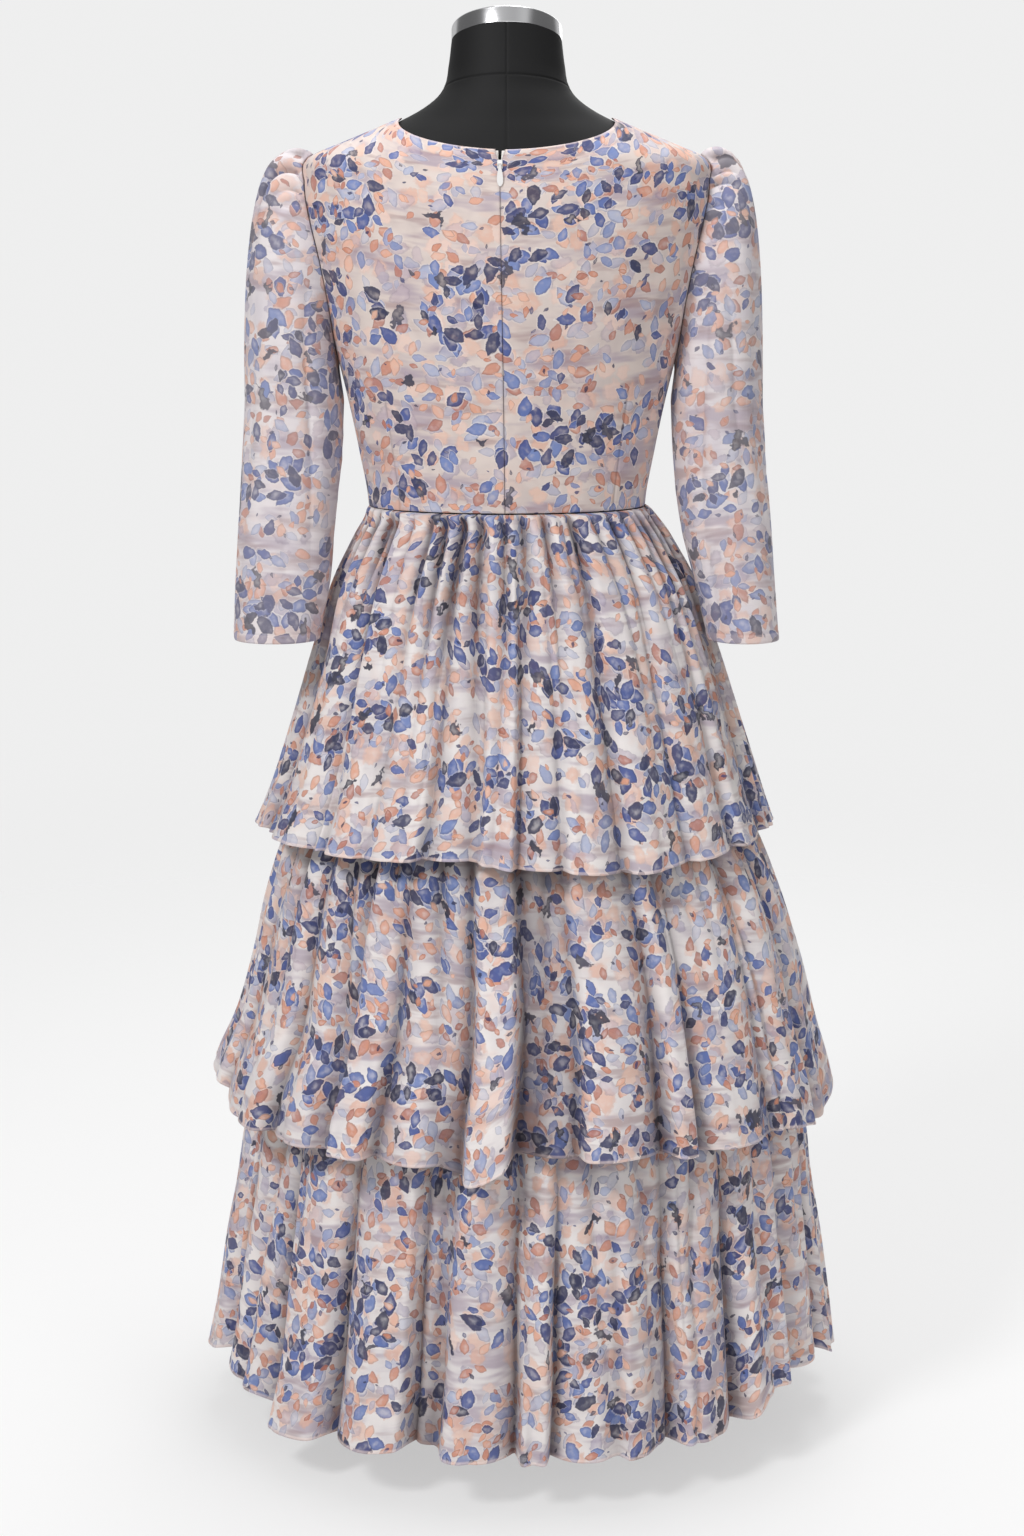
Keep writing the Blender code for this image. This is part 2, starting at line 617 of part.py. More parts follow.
def tape_point(across, down):
    """A point on the zip's tape, which lies behind the back panels' first columns."""
    side = 1 if across > 0.5 else -1
    place = 1 - (1 - down) * TAPE_ROWS / (len(BODICE_ROWS) - 1)
    seam_side = back_panel_point(side, 0.0, place, WALL + SEAM)
    if across == 0.5:
        return seam_side.lerp(back_panel_point(-side, 0.0, place, WALL + SEAM), 0.5)
    far_side = back_panel_point(side, 1 / BACK_COLUMNS, place, WALL + SEAM)
    return seam_side.lerp(far_side, TAPE_REACH * abs(2 * across - 1))


def material_for(name):
    """The material of that finish, made once."""
    found = bpy.data.materials.get(name)
    if found:
        return found
    finish = FINISHES[name]
    material = bpy.data.materials.new(name)
    material.use_nodes = True
    shader = material.node_tree.nodes["Principled BSDF"]
    shader.inputs["Base Color"].default_value = (*finish.colour, 1.0)
    shader.inputs["Roughness"].default_value = finish.roughness
    shader.inputs["Metallic"].default_value = finish.metallic
    return material


def object_from(mesh, name, finish, smooth_angle=50.0):
    """Turns a bmesh into a named object with its finish, shaded smooth."""
    bmesh.ops.recalc_face_normals(mesh, faces=mesh.faces[:])
    data = bpy.data.meshes.new(name)
    mesh.to_mesh(data)
    mesh.free()
    data.materials.append(material_for(finish))
    data.shade_smooth()
    data.set_sharp_from_angle(angle=math.radians(smooth_angle))
    made = bpy.data.objects.new(name, data)
    bpy.context.scene.collection.objects.link(made)
    return made


def sheet_grid(columns, rows, surface, closed):
    """A sheet laid out as a grid on surface(across, down), each from 0 to 1."""
    mesh = bmesh.new()
    across = mesh.verts.layers.float.new("across")
    down = mesh.verts.layers.float.new("down")
    bmesh.ops.create_grid(mesh, x_segments=columns, y_segments=rows, size=0.5)
    for vert in mesh.verts:
        vert[across] = round((vert.co.x + 0.5) * columns) / columns
        vert[down] = round((0.5 - vert.co.y) * rows) / rows
        vert.co = surface(vert[across], vert[down])
    if closed:
        bmesh.ops.remove_doubles(mesh, verts=mesh.verts[:], dist=0.00001)
    return mesh, across, down


def cloth_wall(name, finish, columns, rows, surface, closed=False, wall=WALL, flip=1.0):
    """A wall of cloth: its outer side follows the surface, its inner side lies a wall below."""
    mesh, across, down = sheet_grid(columns, rows, surface, closed)
    copied = bmesh.ops.extrude_face_region(mesh, geom=mesh.faces[:], use_keep_orig=True)
    for item in copied["geom"]:
        if isinstance(item, bmesh.types.BMVert):
            normal = normal_of(surface, item[across], item[down], SHARE_STEP, SHARE_STEP)
            item.co = surface(item[across], item[down]) + normal * (flip * wall)
    return object_from(mesh, name, finish)


def build_bodice():
    """The two back panels, the front panel and the zip's tape."""
    rows = len(BODICE_ROWS) - 1
    for side, name in ((1, "bodice_back_right"), (-1, "bodice_back_left")):
        cloth_wall(
            name, "printed_chiffon", BACK_COLUMNS, rows,
            lambda across, down, side=side: back_panel_point(side, across, down),
            flip=side,
        )
    cloth_wall("bodice_front", "printed_chiffon", FRONT_COLUMNS, rows, front_panel_point)
    cloth_wall("zip_tape", "zip_white", 2, TAPE_ROWS, tape_point, wall=TAPE_WALL)


def build_sleeves():
    """The two sleeves, each gathered into its armhole and open at the cuff."""
    rows = len(SLEEVE_CAP_ROWS) + len(SLEEVE_ARM_ROWS) - 1
    for side, name in ((1, "sleeve_right"), (-1, "sleeve_left")):
        cloth_wall(
            name, "printed_chiffon", SLEEVE_COLUMNS, rows,
            lambda around, down, side=side: sleeve_point(side, around, down),
            closed=True, flip=side,
        )


def build_skirt():
    """The base skirt, and a back and a front half for each tier."""
    rows = len(BASE_SKIRT_RINGS) - 1
    cloth_wall("base_skirt", "base_cloth", BASE_COLUMNS, rows, base_skirt_point, closed=True)
    for tier in TIERS:
        for middle, half in ((0.0, "back"), (180.0, "front")):
            cloth_wall(
                tier.name + "_" + half, "printed_chiffon", tier.columns, len(tier.rows) - 1,
                lambda across, down, tier=tier, middle=middle: tier_panel_point(
                    tier, middle, across, down
                ),
            )


def build_form():
    """The torso with its neck, as one closed solid."""
    heights = [section.height for section in FORM_SECTIONS]

    def surface(across, down):
        return body_point(360.0 * across, from_rows(heights, 1 - down))

    mesh, _, _ = sheet_grid(FORM_COLUMNS, len(heights) - 1, surface, True)
    rims = [edge for edge in mesh.edges if edge.is_boundary]
    bmesh.ops.holes_fill(mesh, edges=rims, sides=0)
    return object_from(mesh, "form_torso", "form_cover")


def build_neck_cap():
    """The chrome cap, which stands square on the neck's sloping end."""
    top = FORM_SECTIONS[-1]
    slope = math.atan(top.lean)
    mesh = bmesh.new()
    bmesh.ops.create_cone(
        mesh, cap_ends=True, segments=CAP_SIDES, radius1=CAP_RADIUS, radius2=CAP_RADIUS,
        depth=CAP_HEIGHT,
    )
    bmesh.ops.scale(mesh, verts=mesh.verts[:], vec=(1, 1 / math.cos(slope), 1))
    rim = [edge for edge in mesh.edges if all(v.co.z > 0 for v in edge.verts)]
    bmesh.ops.bevel(
        mesh, geom=rim, offset=CAP_EDGE, offset_type="OFFSET", segments=2, profile=0.5,
        affect="EDGES", material=-1,
    )
    cap = object_from(mesh, "form_neck_cap", "chrome")
    middle_y = 0.5 * (top.front - top.back)
    seat = Vector((0, middle_y, top.height - top.lean * middle_y))
    axis = Vector((0, math.sin(slope), math.cos(slope)))
    cap.location = seat + axis * (SEAM + 0.5 * CAP_HEIGHT)
    cap.rotation_euler = (-slope, 0, 0)


def build_stand():
    """The pole under the torso and the round foot, which is turned from one profile."""
    foot = [
        (0.0, 0.0),
        (FOOT_RADIUS - FOOT_LOWER_EDGE, 0.0),
        (FOOT_RADIUS, FOOT_LOWER_EDGE),
        (FOOT_RADIUS, FOOT_THICKNESS - FOOT_UPPER_EDGE),
        (FOOT_RADIUS - FOOT_UPPER_EDGE, FOOT_THICKNESS),
        (HUB_RADIUS, FOOT_THICKNESS + FOOT_CROWN),
        (HUB_RADIUS - HUB_TAPER, HUB_HEIGHT),
        (0.0, HUB_HEIGHT),
    ]
    mesh = bmesh.new()
    corners = [mesh.verts.new((radius, 0, height)) for radius, height in foot]
    edges = [mesh.edges.new(pair) for pair in zip(corners, corners[1:])]
    bmesh.ops.spin(
        mesh, geom=corners + edges, cent=(0, 0, 0), axis=(0, 0, 1), angle=math.tau,
        steps=FOOT_SIDES, use_merge=True,
    )
    bmesh.ops.remove_doubles(mesh, verts=mesh.verts[:], dist=0.00001)
    object_from(mesh, "stand_foot", "stand_steel")

    low = HUB_HEIGHT + SEAM
    high = FORM_SECTIONS[0].height - SEAM
    mesh = bmesh.new()
    bmesh.ops.create_cone(
        mesh, cap_ends=True, segments=POLE_SIDES, radius1=POLE_RADIUS, radius2=POLE_RADIUS,
        depth=high - low,
    )
    pole = object_from(mesh, "stand_pole", "stand_steel")
    pole.location.z = 0.5 * (low + high)


def box_object(name, finish, size, centre):
    """A block of that size, used on its own or as a tool for a join."""
    mesh = bmesh.new()
    bmesh.ops.create_cube(mesh, size=1.0)
    bmesh.ops.scale(mesh, verts=mesh.verts[:], vec=size)
    bmesh.ops.translate(mesh, verts=mesh.verts[:], vec=centre)
    return object_from(mesh, name, finish)


def rod_object(name, finish, radius, length, centre):
    """A rod along X."""
    mesh = bmesh.new()
    bmesh.ops.create_cone(
        mesh, cap_ends=True, segments=12, radius1=radius, radius2=radius, depth=length
    )
    bmesh.ops.rotate(mesh, verts=mesh.verts[:], matrix=Matrix.Rotation(math.pi / 2, 3, "Y"))
    bmesh.ops.translate(mesh, verts=mesh.verts[:], vec=centre)
    return object_from(mesh, name, finish)


def combine(target, tool, operation, parent):
    """Joins a tool to the target, or cuts it away, and hides the tool."""
    tool.parent = parent
    tool.hide_render = True
    tool.display_type = "WIRE"
    boolean = target.modifiers.new(tool.name, "BOOLEAN")
    boolean.operation = operation
    boolean.solver = "EXACT"
    boolean.object = tool


def seam_point(height):
    """A point on the back seam at about that height, on the panels' own straight facets."""
    down = 1 - (height - WAIST) / (BACK_NECK - WAIST)
    share = 1 - down
    rows = [row for row in range(len(BODICE_ROWS) - 1) if BODICE_ROWS[row] <= share]
    low = rows[-1]
    into = (share - BODICE_ROWS[low]) / (BODICE_ROWS[low + 1] - BODICE_ROWS[low])
    place = 1 - (low + into) / (len(BODICE_ROWS) - 1)
    return back_panel_point(1, 0.0, place).lerp(back_panel_point(-1, 0.0, place), 0.5)


def zip_frame():
    """The place of the slider on the back seam: X across, Y up the cloth, Z out of it."""
    seat = seam_point(ZIP_SLIDER)
    up = (seam_point(ZIP_SLIDER + 0.004) - seam_point(ZIP_SLIDER - 0.004)).normalized()
    across = up.cross(Vector((0, -1, 0))).normalized()
    out = across.cross(up)
    turn = Matrix((across, up, out)).transposed()
    return seat, turn, out


def build_slider():
    """The slider's crown on the cloth, with two lugs that carry the pull tab's pin."""
    seat, turn, _ = zip_frame()
    holder = bpy.data.objects.new("zip_place", None)
    bpy.context.scene.collection.objects.link(holder)
    holder.location = seat
    holder.rotation_euler = turn.to_euler()
    crown_middle = SEAM + 0.5 * CROWN_SIZE[2]
    crown = box_object("zip_slider", "zip_white", CROWN_SIZE, (0, 0, crown_middle))
    crown.parent = holder
    lug_middle = PIN_LIFT - LUG_DROP
    for side in (1, -1):
        lug = box_object(
            "lug_tool_right" if side > 0 else "lug_tool_left", "zip_white", LUG_SIZE,
            (side * LUG_OFFSET, 0, lug_middle),
        )
        combine(crown, lug, "UNION", holder)
    pin = rod_object("pin_tool", "zip_white", PIN_RADIUS, 2 * LUG_OFFSET, (0, 0, PIN_LIFT))
    combine(crown, pin, "UNION", holder)


def build_tab():
    """The teardrop pull tab, which hangs from the slider's pin and lies against the cloth."""
    seat, turn, out = zip_frame()
    pivot = seat + out * PIN_LIFT
    tip = seam_point(ZIP_TAB_TIP) + out * (SEAM + TAB_REST * TAB_THICKNESS)
    across = turn.col[0]
    fall = tip - pivot
    fall -= across * fall.dot(across)
    up = -fall.normalized()
    length = fall.length
    face = across.cross(up)

    stretch = length / TAB_DRAWN_LENGTH
    outline = [(x, y * stretch) for x, y in TAB_OUTLINE]
    outline += [(0.0, -length)] + [(-x, y) for x, y in reversed(outline)]
    mesh = bmesh.new()
    corners = [mesh.verts.new((x, y, -0.5 * TAB_THICKNESS)) for x, y in outline]
    plate = mesh.faces.new(corners)
    raised = bmesh.ops.extrude_face_region(mesh, geom=[plate], use_keep_orig=True)
    lifted = [item for item in raised["geom"] if isinstance(item, bmesh.types.BMVert)]
    bmesh.ops.translate(mesh, verts=lifted, vec=(0, 0, TAB_THICKNESS))
    tab = object_from(mesh, "zip_pull_tab", "zip_white")
    tab.location = pivot
    tab.rotation_euler = Matrix((across, up, face)).transposed().to_euler()
    head = rod_object("tab_head_tool", "zip_white", TAB_HEAD_RADIUS, TAB_HEAD_WIDTH, (0, 0, 0))
    combine(tab, head, "UNION", tab)
    bore = rod_object("tab_bore_tool", "zip_white", TAB_BORE, TAB_BORE_LENGTH, (0, 0, 0))
    combine(tab, bore, "DIFFERENCE", tab)


def main():
    """Clears the scene and builds every piece."""
    for old in list(bpy.data.objects):
        bpy.data.objects.remove(old)
    build_form()
    build_neck_cap()
    build_stand()
    build_bodice()
    build_sleeves()
    build_skirt()
    build_slider()
    build_tab()


main()
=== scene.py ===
"""A three-tier printed dress on a dress form, finished for its studio picture.

The dress's back, with the centre zip, faces -Y, +X is the wearer's right and +Z is up. Sizes
are in metres and the origin is the middle of the stand's foot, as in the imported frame. Each
cloth piece is a thin shell on the same surface as its solid, with the finer folds added.
"""

import logging
import math
from dataclasses import dataclass
from enum import Enum
from functools import partial
from typing import Callable, NamedTuple, Union

import bmesh
import bpy
import numpy as np
from mathutils import Matrix, Vector


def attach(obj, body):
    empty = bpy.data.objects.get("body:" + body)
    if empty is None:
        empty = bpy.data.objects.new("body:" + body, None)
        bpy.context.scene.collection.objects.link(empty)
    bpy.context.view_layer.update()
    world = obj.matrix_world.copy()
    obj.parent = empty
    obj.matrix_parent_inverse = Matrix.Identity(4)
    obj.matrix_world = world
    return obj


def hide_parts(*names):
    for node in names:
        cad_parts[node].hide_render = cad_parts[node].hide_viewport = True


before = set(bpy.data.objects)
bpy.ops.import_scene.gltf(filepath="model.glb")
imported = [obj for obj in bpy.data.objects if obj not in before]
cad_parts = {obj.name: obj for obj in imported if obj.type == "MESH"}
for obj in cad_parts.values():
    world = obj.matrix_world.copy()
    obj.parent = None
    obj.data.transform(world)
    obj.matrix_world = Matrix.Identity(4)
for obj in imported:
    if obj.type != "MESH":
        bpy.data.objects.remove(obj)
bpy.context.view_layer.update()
LOG = logging.getLogger("dress")
DRESS_BODY = "dress_on_form"

# Cloth, seams and heights, as in the part's source: metres, degrees and shares.
WALL = 0.0014
SEAM = 0.0004
EASE = 0.0045
SHOULDER_REST = 0.0014
SHOULDER_LOW = 1.245
SHOULDER_BAND = 0.025
SHOULDER_FOCUS = 6
WAIST = 0.930
UNDERARM_SHARE = 0.375
SHOULDER_SHARE = 0.905
NECK_POINT = 1.298
BACK_NECK = 1.2655
FRONT_NECK = 1.222
NECK_ROUNDNESS = 1.7
BACK_ARMHOLE_BITE = 17.0
FRONT_ARMHOLE_BITE = 26.0
ARMHOLE_FULLNESS = 0.8
ZIP_OFF_CENTRE = 0.7
ZIP_DRIFT = 1.2
NOTCH_DEPTH = 0.0155
NOTCH_HALF_WIDTH = 0.0042
FOLD_GROWTH = 0.75
CAP_RADIUS = 0.0528
CAP_HEIGHT = 0.0165

# The shells of this picture are finer than the solids' walls.
SHELL = 0.0006

# How meshes are made: their flat coordinates, sharp edges and merged points.
UV_NAME = "cloth"
UNWRAP_ROUNDS = 12
SHARP_ANGLE = 50.0
SAME_POINT = 0.00001

# How near the middle a furrow may reach where nothing hangs behind it, and how far above
# a tier's top that tier still counts as hanging there.
OPEN_REACH = 0.12
TIER_LAP = 0.004


class Section(NamedTuple):
    """A ring round the form: its sizes at a height, and how far its back rises."""

    height: float
    half_width: float
    back: float
    front: float
    lean: float


class Ring(NamedTuple):
    """The outermost line of a skirt at a height, and how far it lies to +X."""

    height: float
    half_width: float
    back: float
    front: float
    shift: float


class Valley(NamedTuple):
    """A furrow between two folds: angle, depth in mm, half-width in degrees, start, lean."""

    angle: float
    depth: float
    width: float
    start: float
    lean: float = 0.0


class Hem(NamedTuple):
    """A hem's height at an angle from the back centre."""

    angle: float
    height: float


class Cuff(NamedTuple):
    """A section of the sleeve below the armhole."""

    height: float
    inner: float
    outer: float
    middle: float
    half_depth: float


class Crease(NamedTuple):
    """A soft crease on a shell, between two places given as shares across and down."""

    across: float
    down: float
    across_end: float
    down_end: float
    width: float
    lift: float


def table(kind: type, rows: tuple[tuple[float, ...], ...]) -> list:
    """A table's rows as named tuples of one kind."""
    return [kind(*row) for row in rows]


FORM_SECTIONS = table(Section, (
    (0.66, 0.15, 0.098, 0.092, 0.0), (0.73, 0.165, 0.116, 0.104, 0.0),
    (0.83, 0.152, 0.106, 0.1, 0.0), (0.93, 0.13, 0.088, 0.096, 0.0),
    (0.983, 0.1385, 0.091, 0.106, 0.0), (1.032, 0.1485, 0.097, 0.12, 0.0),
    (1.068, 0.157, 0.102, 0.128, 0.0), (1.105, 0.166, 0.106, 0.124, 0.0),
    (1.168, 0.182, 0.108, 0.108, 0.0), (1.205, 0.1885, 0.105, 0.094, 0.0),
    (1.24, 0.1895, 0.098, 0.078, 0.0), (1.263, 0.184, 0.09, 0.066, 0.0),
    (1.276, 0.153, 0.084, 0.058, 0.0), (1.287, 0.126, 0.079, 0.052, 0.0),
    (1.298, 0.0995, 0.073, 0.047, 0.02), (1.306, 0.083, 0.068, 0.046, 0.08),
    (1.316, 0.068, 0.061, 0.047, 0.17), (1.328, 0.0595, 0.056, 0.05, 0.25),
    (1.346, 0.0557, 0.05, 0.055, 0.3), (1.3706, 0.0525, 0.043, 0.062, 0.34),
))
BUST_ANGLE = 149.0
BUST_SPREAD = 17.0
BUST_HEIGHT = 1.072
BUST_RISE = 0.045
BUST_LIFT = 0.013

BASE_SKIRT_RINGS = table(Ring, (
    (0.43, 0.2455, 0.221, 0.215, 0.0162), (0.45, 0.2445, 0.22, 0.214, 0.0155),
    (0.68, 0.1975, 0.1575, 0.1555, 0.0088), (0.83, 0.168, 0.124, 0.124, 0.008),
    (0.889, 0.15, 0.105, 0.111, 0.0058), (0.9285, 0.1337, 0.091, 0.099, 0.001),
))
TIER_1_RINGS = table(Ring, (
    (0.6, 0.2655, 0.2265, 0.2285, 0.0066), (0.648, 0.2468, 0.208, 0.211, 0.0086),
    (0.709, 0.2272, 0.186, 0.19, 0.0095), (0.79, 0.202, 0.159, 0.164, 0.009),
    (0.867, 0.175, 0.131, 0.137, 0.007), (0.889, 0.1632, 0.1225, 0.1285, 0.0062),
    (0.903, 0.1555, 0.115, 0.1215, 0.0056), (0.922, 0.143, 0.102, 0.1095, 0.0035),
    (0.9296, 0.139, 0.096, 0.104, 0.001),
))
TIER_2_RINGS = table(Ring, (
    (0.33, 0.325, 0.302, 0.296, 0.0155), (0.378, 0.314, 0.289, 0.283, 0.0168),
    (0.4213, 0.2972, 0.271, 0.266, 0.02), (0.4806, 0.2808, 0.248, 0.244, 0.0212),
    (0.544, 0.2634, 0.223, 0.22, 0.018), (0.613, 0.2365, 0.193, 0.193, 0.014),
    (0.648, 0.218, 0.177, 0.177, 0.011), (0.68, 0.2021, 0.1619, 0.1599, 0.0088),
))
TIER_3_RINGS = table(Ring, (
    (0.045, 0.3305, 0.298, 0.294, 0.0146), (0.1154, 0.3185, 0.29, 0.285, 0.0175),
    (0.198, 0.306, 0.28, 0.276, 0.0182), (0.2352, 0.299, 0.274, 0.27, 0.019),
    (0.3111, 0.288, 0.262, 0.257, 0.0208), (0.378, 0.2715, 0.245, 0.24, 0.0195),
    (0.4, 0.264, 0.2385, 0.233, 0.0185), (0.45, 0.2491, 0.2246, 0.2186, 0.0155),
))

TIER_1_VALLEYS = table(Valley, (
    (-96.0, 9.0, 8.0, 0.2, 2.0), (-76.0, 13.0, 14.0, 0.0, -2.0), (-50.5, 11.0, 6.0, 0.05, 2.0),
    (-33.0, 9.0, 8.0, 0.0, -2.5), (-19.2, 20.0, 7.0, 0.0, -2.5), (-9.0, 9.0, 5.0, 0.0, 1.5),
    (1.8, 19.0, 5.0, 0.0, -2.2), (9.5, 13.0, 5.0, 0.0, 1.6), (23.0, 20.0, 6.5, 0.05, 2.4),
    (40.3, 16.0, 7.0, 0.0, 2.6), (56.5, 11.0, 6.5, 0.1, 2.0), (76.0, 14.0, 14.0, 0.0, 2.0),
    (96.0, 9.0, 8.0, 0.2, -2.0), (109.0, 10.0, 7.0, 0.05, 2.0), (124.0, 14.0, 7.0, 0.0, -2.4),
    (139.5, 19.0, 6.5, 0.0, 2.2), (152.0, 12.0, 6.0, 0.1, -1.6), (166.0, 20.0, 7.0, 0.0, 2.6),
    (181.0, 15.0, 6.0, 0.0, -2.0), (197.0, 20.0, 7.5, 0.05, 2.4), (212.0, 13.0, 6.0, 0.0, -1.8),
    (227.0, 17.0, 7.0, 0.0, 2.4), (243.0, 10.0, 6.5, 0.05, -1.6),
))
TIER_2_VALLEYS = table(Valley, (
    (-90.0, 12.0, 9.0, 0.0, 2.0), (-71.0, 13.0, 7.0, 0.1, -2.0), (-51.0, 22.0, 7.0, 0.0, -2.8),
    (-38.0, 14.0, 6.0, 0.1, 2.0), (-26.2, 27.0, 6.0, 0.0, -2.6), (-12.4, 26.0, 5.5, 0.0, 2.4),
    (0.0, 31.0, 6.0, 0.0, -2.6), (8.5, 24.0, 4.5, 0.1, 1.8), (24.4, 31.0, 6.5, 0.0, 2.8),
    (33.5, 25.0, 5.0, 0.1, -2.0), (50.0, 17.0, 7.0, 0.0, 2.6), (67.0, 19.0, 7.0, 0.05, -2.4),
    (90.0, 12.0, 9.0, 0.0, 2.0), (107.0, 17.0, 7.0, 0.05, 2.4), (123.0, 24.0, 7.0, 0.0, -2.6),
    (137.0, 20.0, 6.0, 0.05, 2.0), (151.0, 29.0, 6.5, 0.0, 2.6), (166.0, 24.0, 6.5, 0.0, -2.4),
    (182.0, 30.0, 7.0, 0.0, 2.8), (196.0, 22.0, 5.5, 0.1, -2.0), (211.0, 29.0, 7.0, 0.0, 2.8),
    (226.0, 22.0, 6.5, 0.0, -2.4), (241.0, 24.0, 7.0, 0.05, 2.4), (255.0, 14.0, 6.0, 0.0, -1.8),
))
TIER_3_VALLEYS = table(Valley, (
    (-90.0, 15.0, 8.0, 0.0, 2.0), (-72.0, 22.0, 7.0, 0.0, -2.4), (-54.0, 35.0, 7.0, 0.0, 2.8),
    (-36.0, 36.0, 6.0, 0.0, -2.6), (-19.5, 38.0, 5.5, 0.0, -2.4), (-15.5, 14.0, 4.0, 0.2, 1.2),
    (-2.7, 36.0, 5.0, 0.0, 2.2), (6.0, 28.0, 4.5, 0.05, -1.8), (16.0, 14.0, 5.0, 0.15, 1.6),
    (26.7, 38.0, 6.0, 0.0, 2.6), (41.8, 36.0, 6.5, 0.0, 2.8), (58.8, 33.0, 7.0, 0.0, -2.6),
    (74.0, 22.0, 6.0, 0.05, 2.2), (90.0, 15.0, 8.0, 0.0, -2.0), (106.0, 26.0, 7.0, 0.0, 2.4),
    (121.0, 34.0, 7.0, 0.0, -2.8), (135.0, 29.0, 6.0, 0.05, 2.2), (149.5, 37.0, 7.0, 0.0, 2.8),
    (163.0, 30.0, 6.0, 0.0, -2.4), (177.5, 37.0, 6.5, 0.0, 2.6), (192.0, 31.0, 6.5, 0.05, -2.4),
    (207.0, 37.0, 7.0, 0.0, 2.8), (221.5, 30.0, 6.0, 0.0, -2.4), (237.0, 35.0, 7.0, 0.0, 2.8),
    (252.5, 25.0, 6.5, 0.0, -2.2),
))

TIER_1_HEM = table(Hem, (
    (-90.0, 0.6125), (-50.0, 0.6135), (-30.0, 0.6135), (-12.0, 0.6175), (2.0, 0.6105),
    (24.0, 0.6035), (41.0, 0.6065), (56.0, 0.6105), (90.0, 0.6125), (125.0, 0.6085),
    (150.0, 0.6125), (180.0, 0.6065), (215.0, 0.612), (245.0, 0.61), (270.0, 0.6125),
))
TIER_2_HEM = table(Hem, (
    (-90.0, 0.378), (-76.0, 0.364), (-62.0, 0.344), (-43.0, 0.342), (-18.0, 0.344), (-9.0, 0.331),
    (1.0, 0.354), (15.0, 0.351), (30.0, 0.346), (52.0, 0.344), (70.0, 0.333), (81.0, 0.36),
    (90.0, 0.378), (105.0, 0.36), (122.0, 0.342), (150.0, 0.35), (180.0, 0.342), (208.0, 0.349),
    (240.0, 0.344), (257.0, 0.362), (270.0, 0.378),
))
TIER_3_HEM = table(Hem, (
    (-90.0, 0.06), (-70.0, 0.08), (-60.0, 0.064), (-48.0, 0.045), (-31.0, 0.051), (-19.5, 0.056),
    (-12.0, 0.054), (1.0, 0.053), (31.0, 0.054), (42.0, 0.057), (50.0, 0.079), (58.0, 0.081),
    (70.0, 0.083), (80.0, 0.065), (90.0, 0.058), (112.0, 0.076), (128.0, 0.056), (150.0, 0.05),
    (180.0, 0.054), (205.0, 0.05), (228.0, 0.056), (246.0, 0.072), (270.0, 0.06),
))

LEFT_SLEEVE = table(Cuff, (
    (0.804, 0.1829, 0.2654, -0.048, 0.0385), (0.865, 0.1716, 0.2637, -0.036, 0.0415),
    (0.909, 0.1681, 0.2623, -0.026, 0.044), (0.98, 0.1612, 0.2589, -0.01, 0.049),
    (1.03, 0.159, 0.2559, -0.002, 0.0525),
))
RIGHT_SLEEVE = table(Cuff, (
    (0.804, 0.1959, 0.2655, -0.048, 0.0385), (0.865, 0.1815, 0.261, -0.036, 0.0415),
    (0.909, 0.1705, 0.258, -0.026, 0.044), (0.98, 0.1622, 0.2515, -0.01, 0.049),
    (1.03, 0.16, 0.2483, -0.002, 0.0525),
))
SLEEVE_TOP = 1.030
CUFF_EDGE = 0.804
CAP_OUT = np.array((0.0425, 0.0, 0.0285))
CAP_UNDER = np.array((0.0012, 0.0, -0.0120))
CAP_BACKWARD = 0.013
CAP_FALL = 0.170
UNDERARM_FALL = 0.012
SLEEVE_SEAM = 1.6
SLEEVE_LAP = 2.4

Array = np.ndarray
Socket = bpy.types.NodeSocket
Colour = tuple[float, float, float, float]
Reach = Callable[[Array, Array], Array]


def srgb(red: int, green: int, blue: int) -> Colour:
    """A linear colour with full alpha from screen values of 0 to 255.

    Args:
        red: Red, 0 to 255.
        green: Green, 0 to 255.
        blue: Blue, 0 to 255.

    Returns:
        The linear colour.
    """
    parts = []
    for value in (red, green, blue):
        share = value / 255
        parts.append(share / 12.92 if share <= 0.04045 else ((share + 0.055) / 1.055) ** 2.4)
    return (parts[0], parts[1], parts[2], 1.0)


def smooth_step(value: Array) -> Array:
    """Eases from 0 to 1 while value goes from 0 to 1."""
    share = np.clip(value, 0.0, 1.0)
    return share * share * (3 - 2 * share)


def bump(distance: Array, width: float) -> Array:
    """A soft hill of height 1 at distance 0, about width wide on each side."""
    return np.exp(-((distance / width) ** 2))


def cusp(distance: Array, width: float) -> Array:
    """A sharp crease of height 1 at distance 0, which ends at width on each side."""
    return (1 - np.clip(np.abs(distance) / width, 0.0, 1.0)) ** 2.2


def turned(angle: Array) -> Array:
    """Brings an angle in degrees to between -180 and 180."""
    return np.remainder(angle + 180.0, 360.0) - 180.0


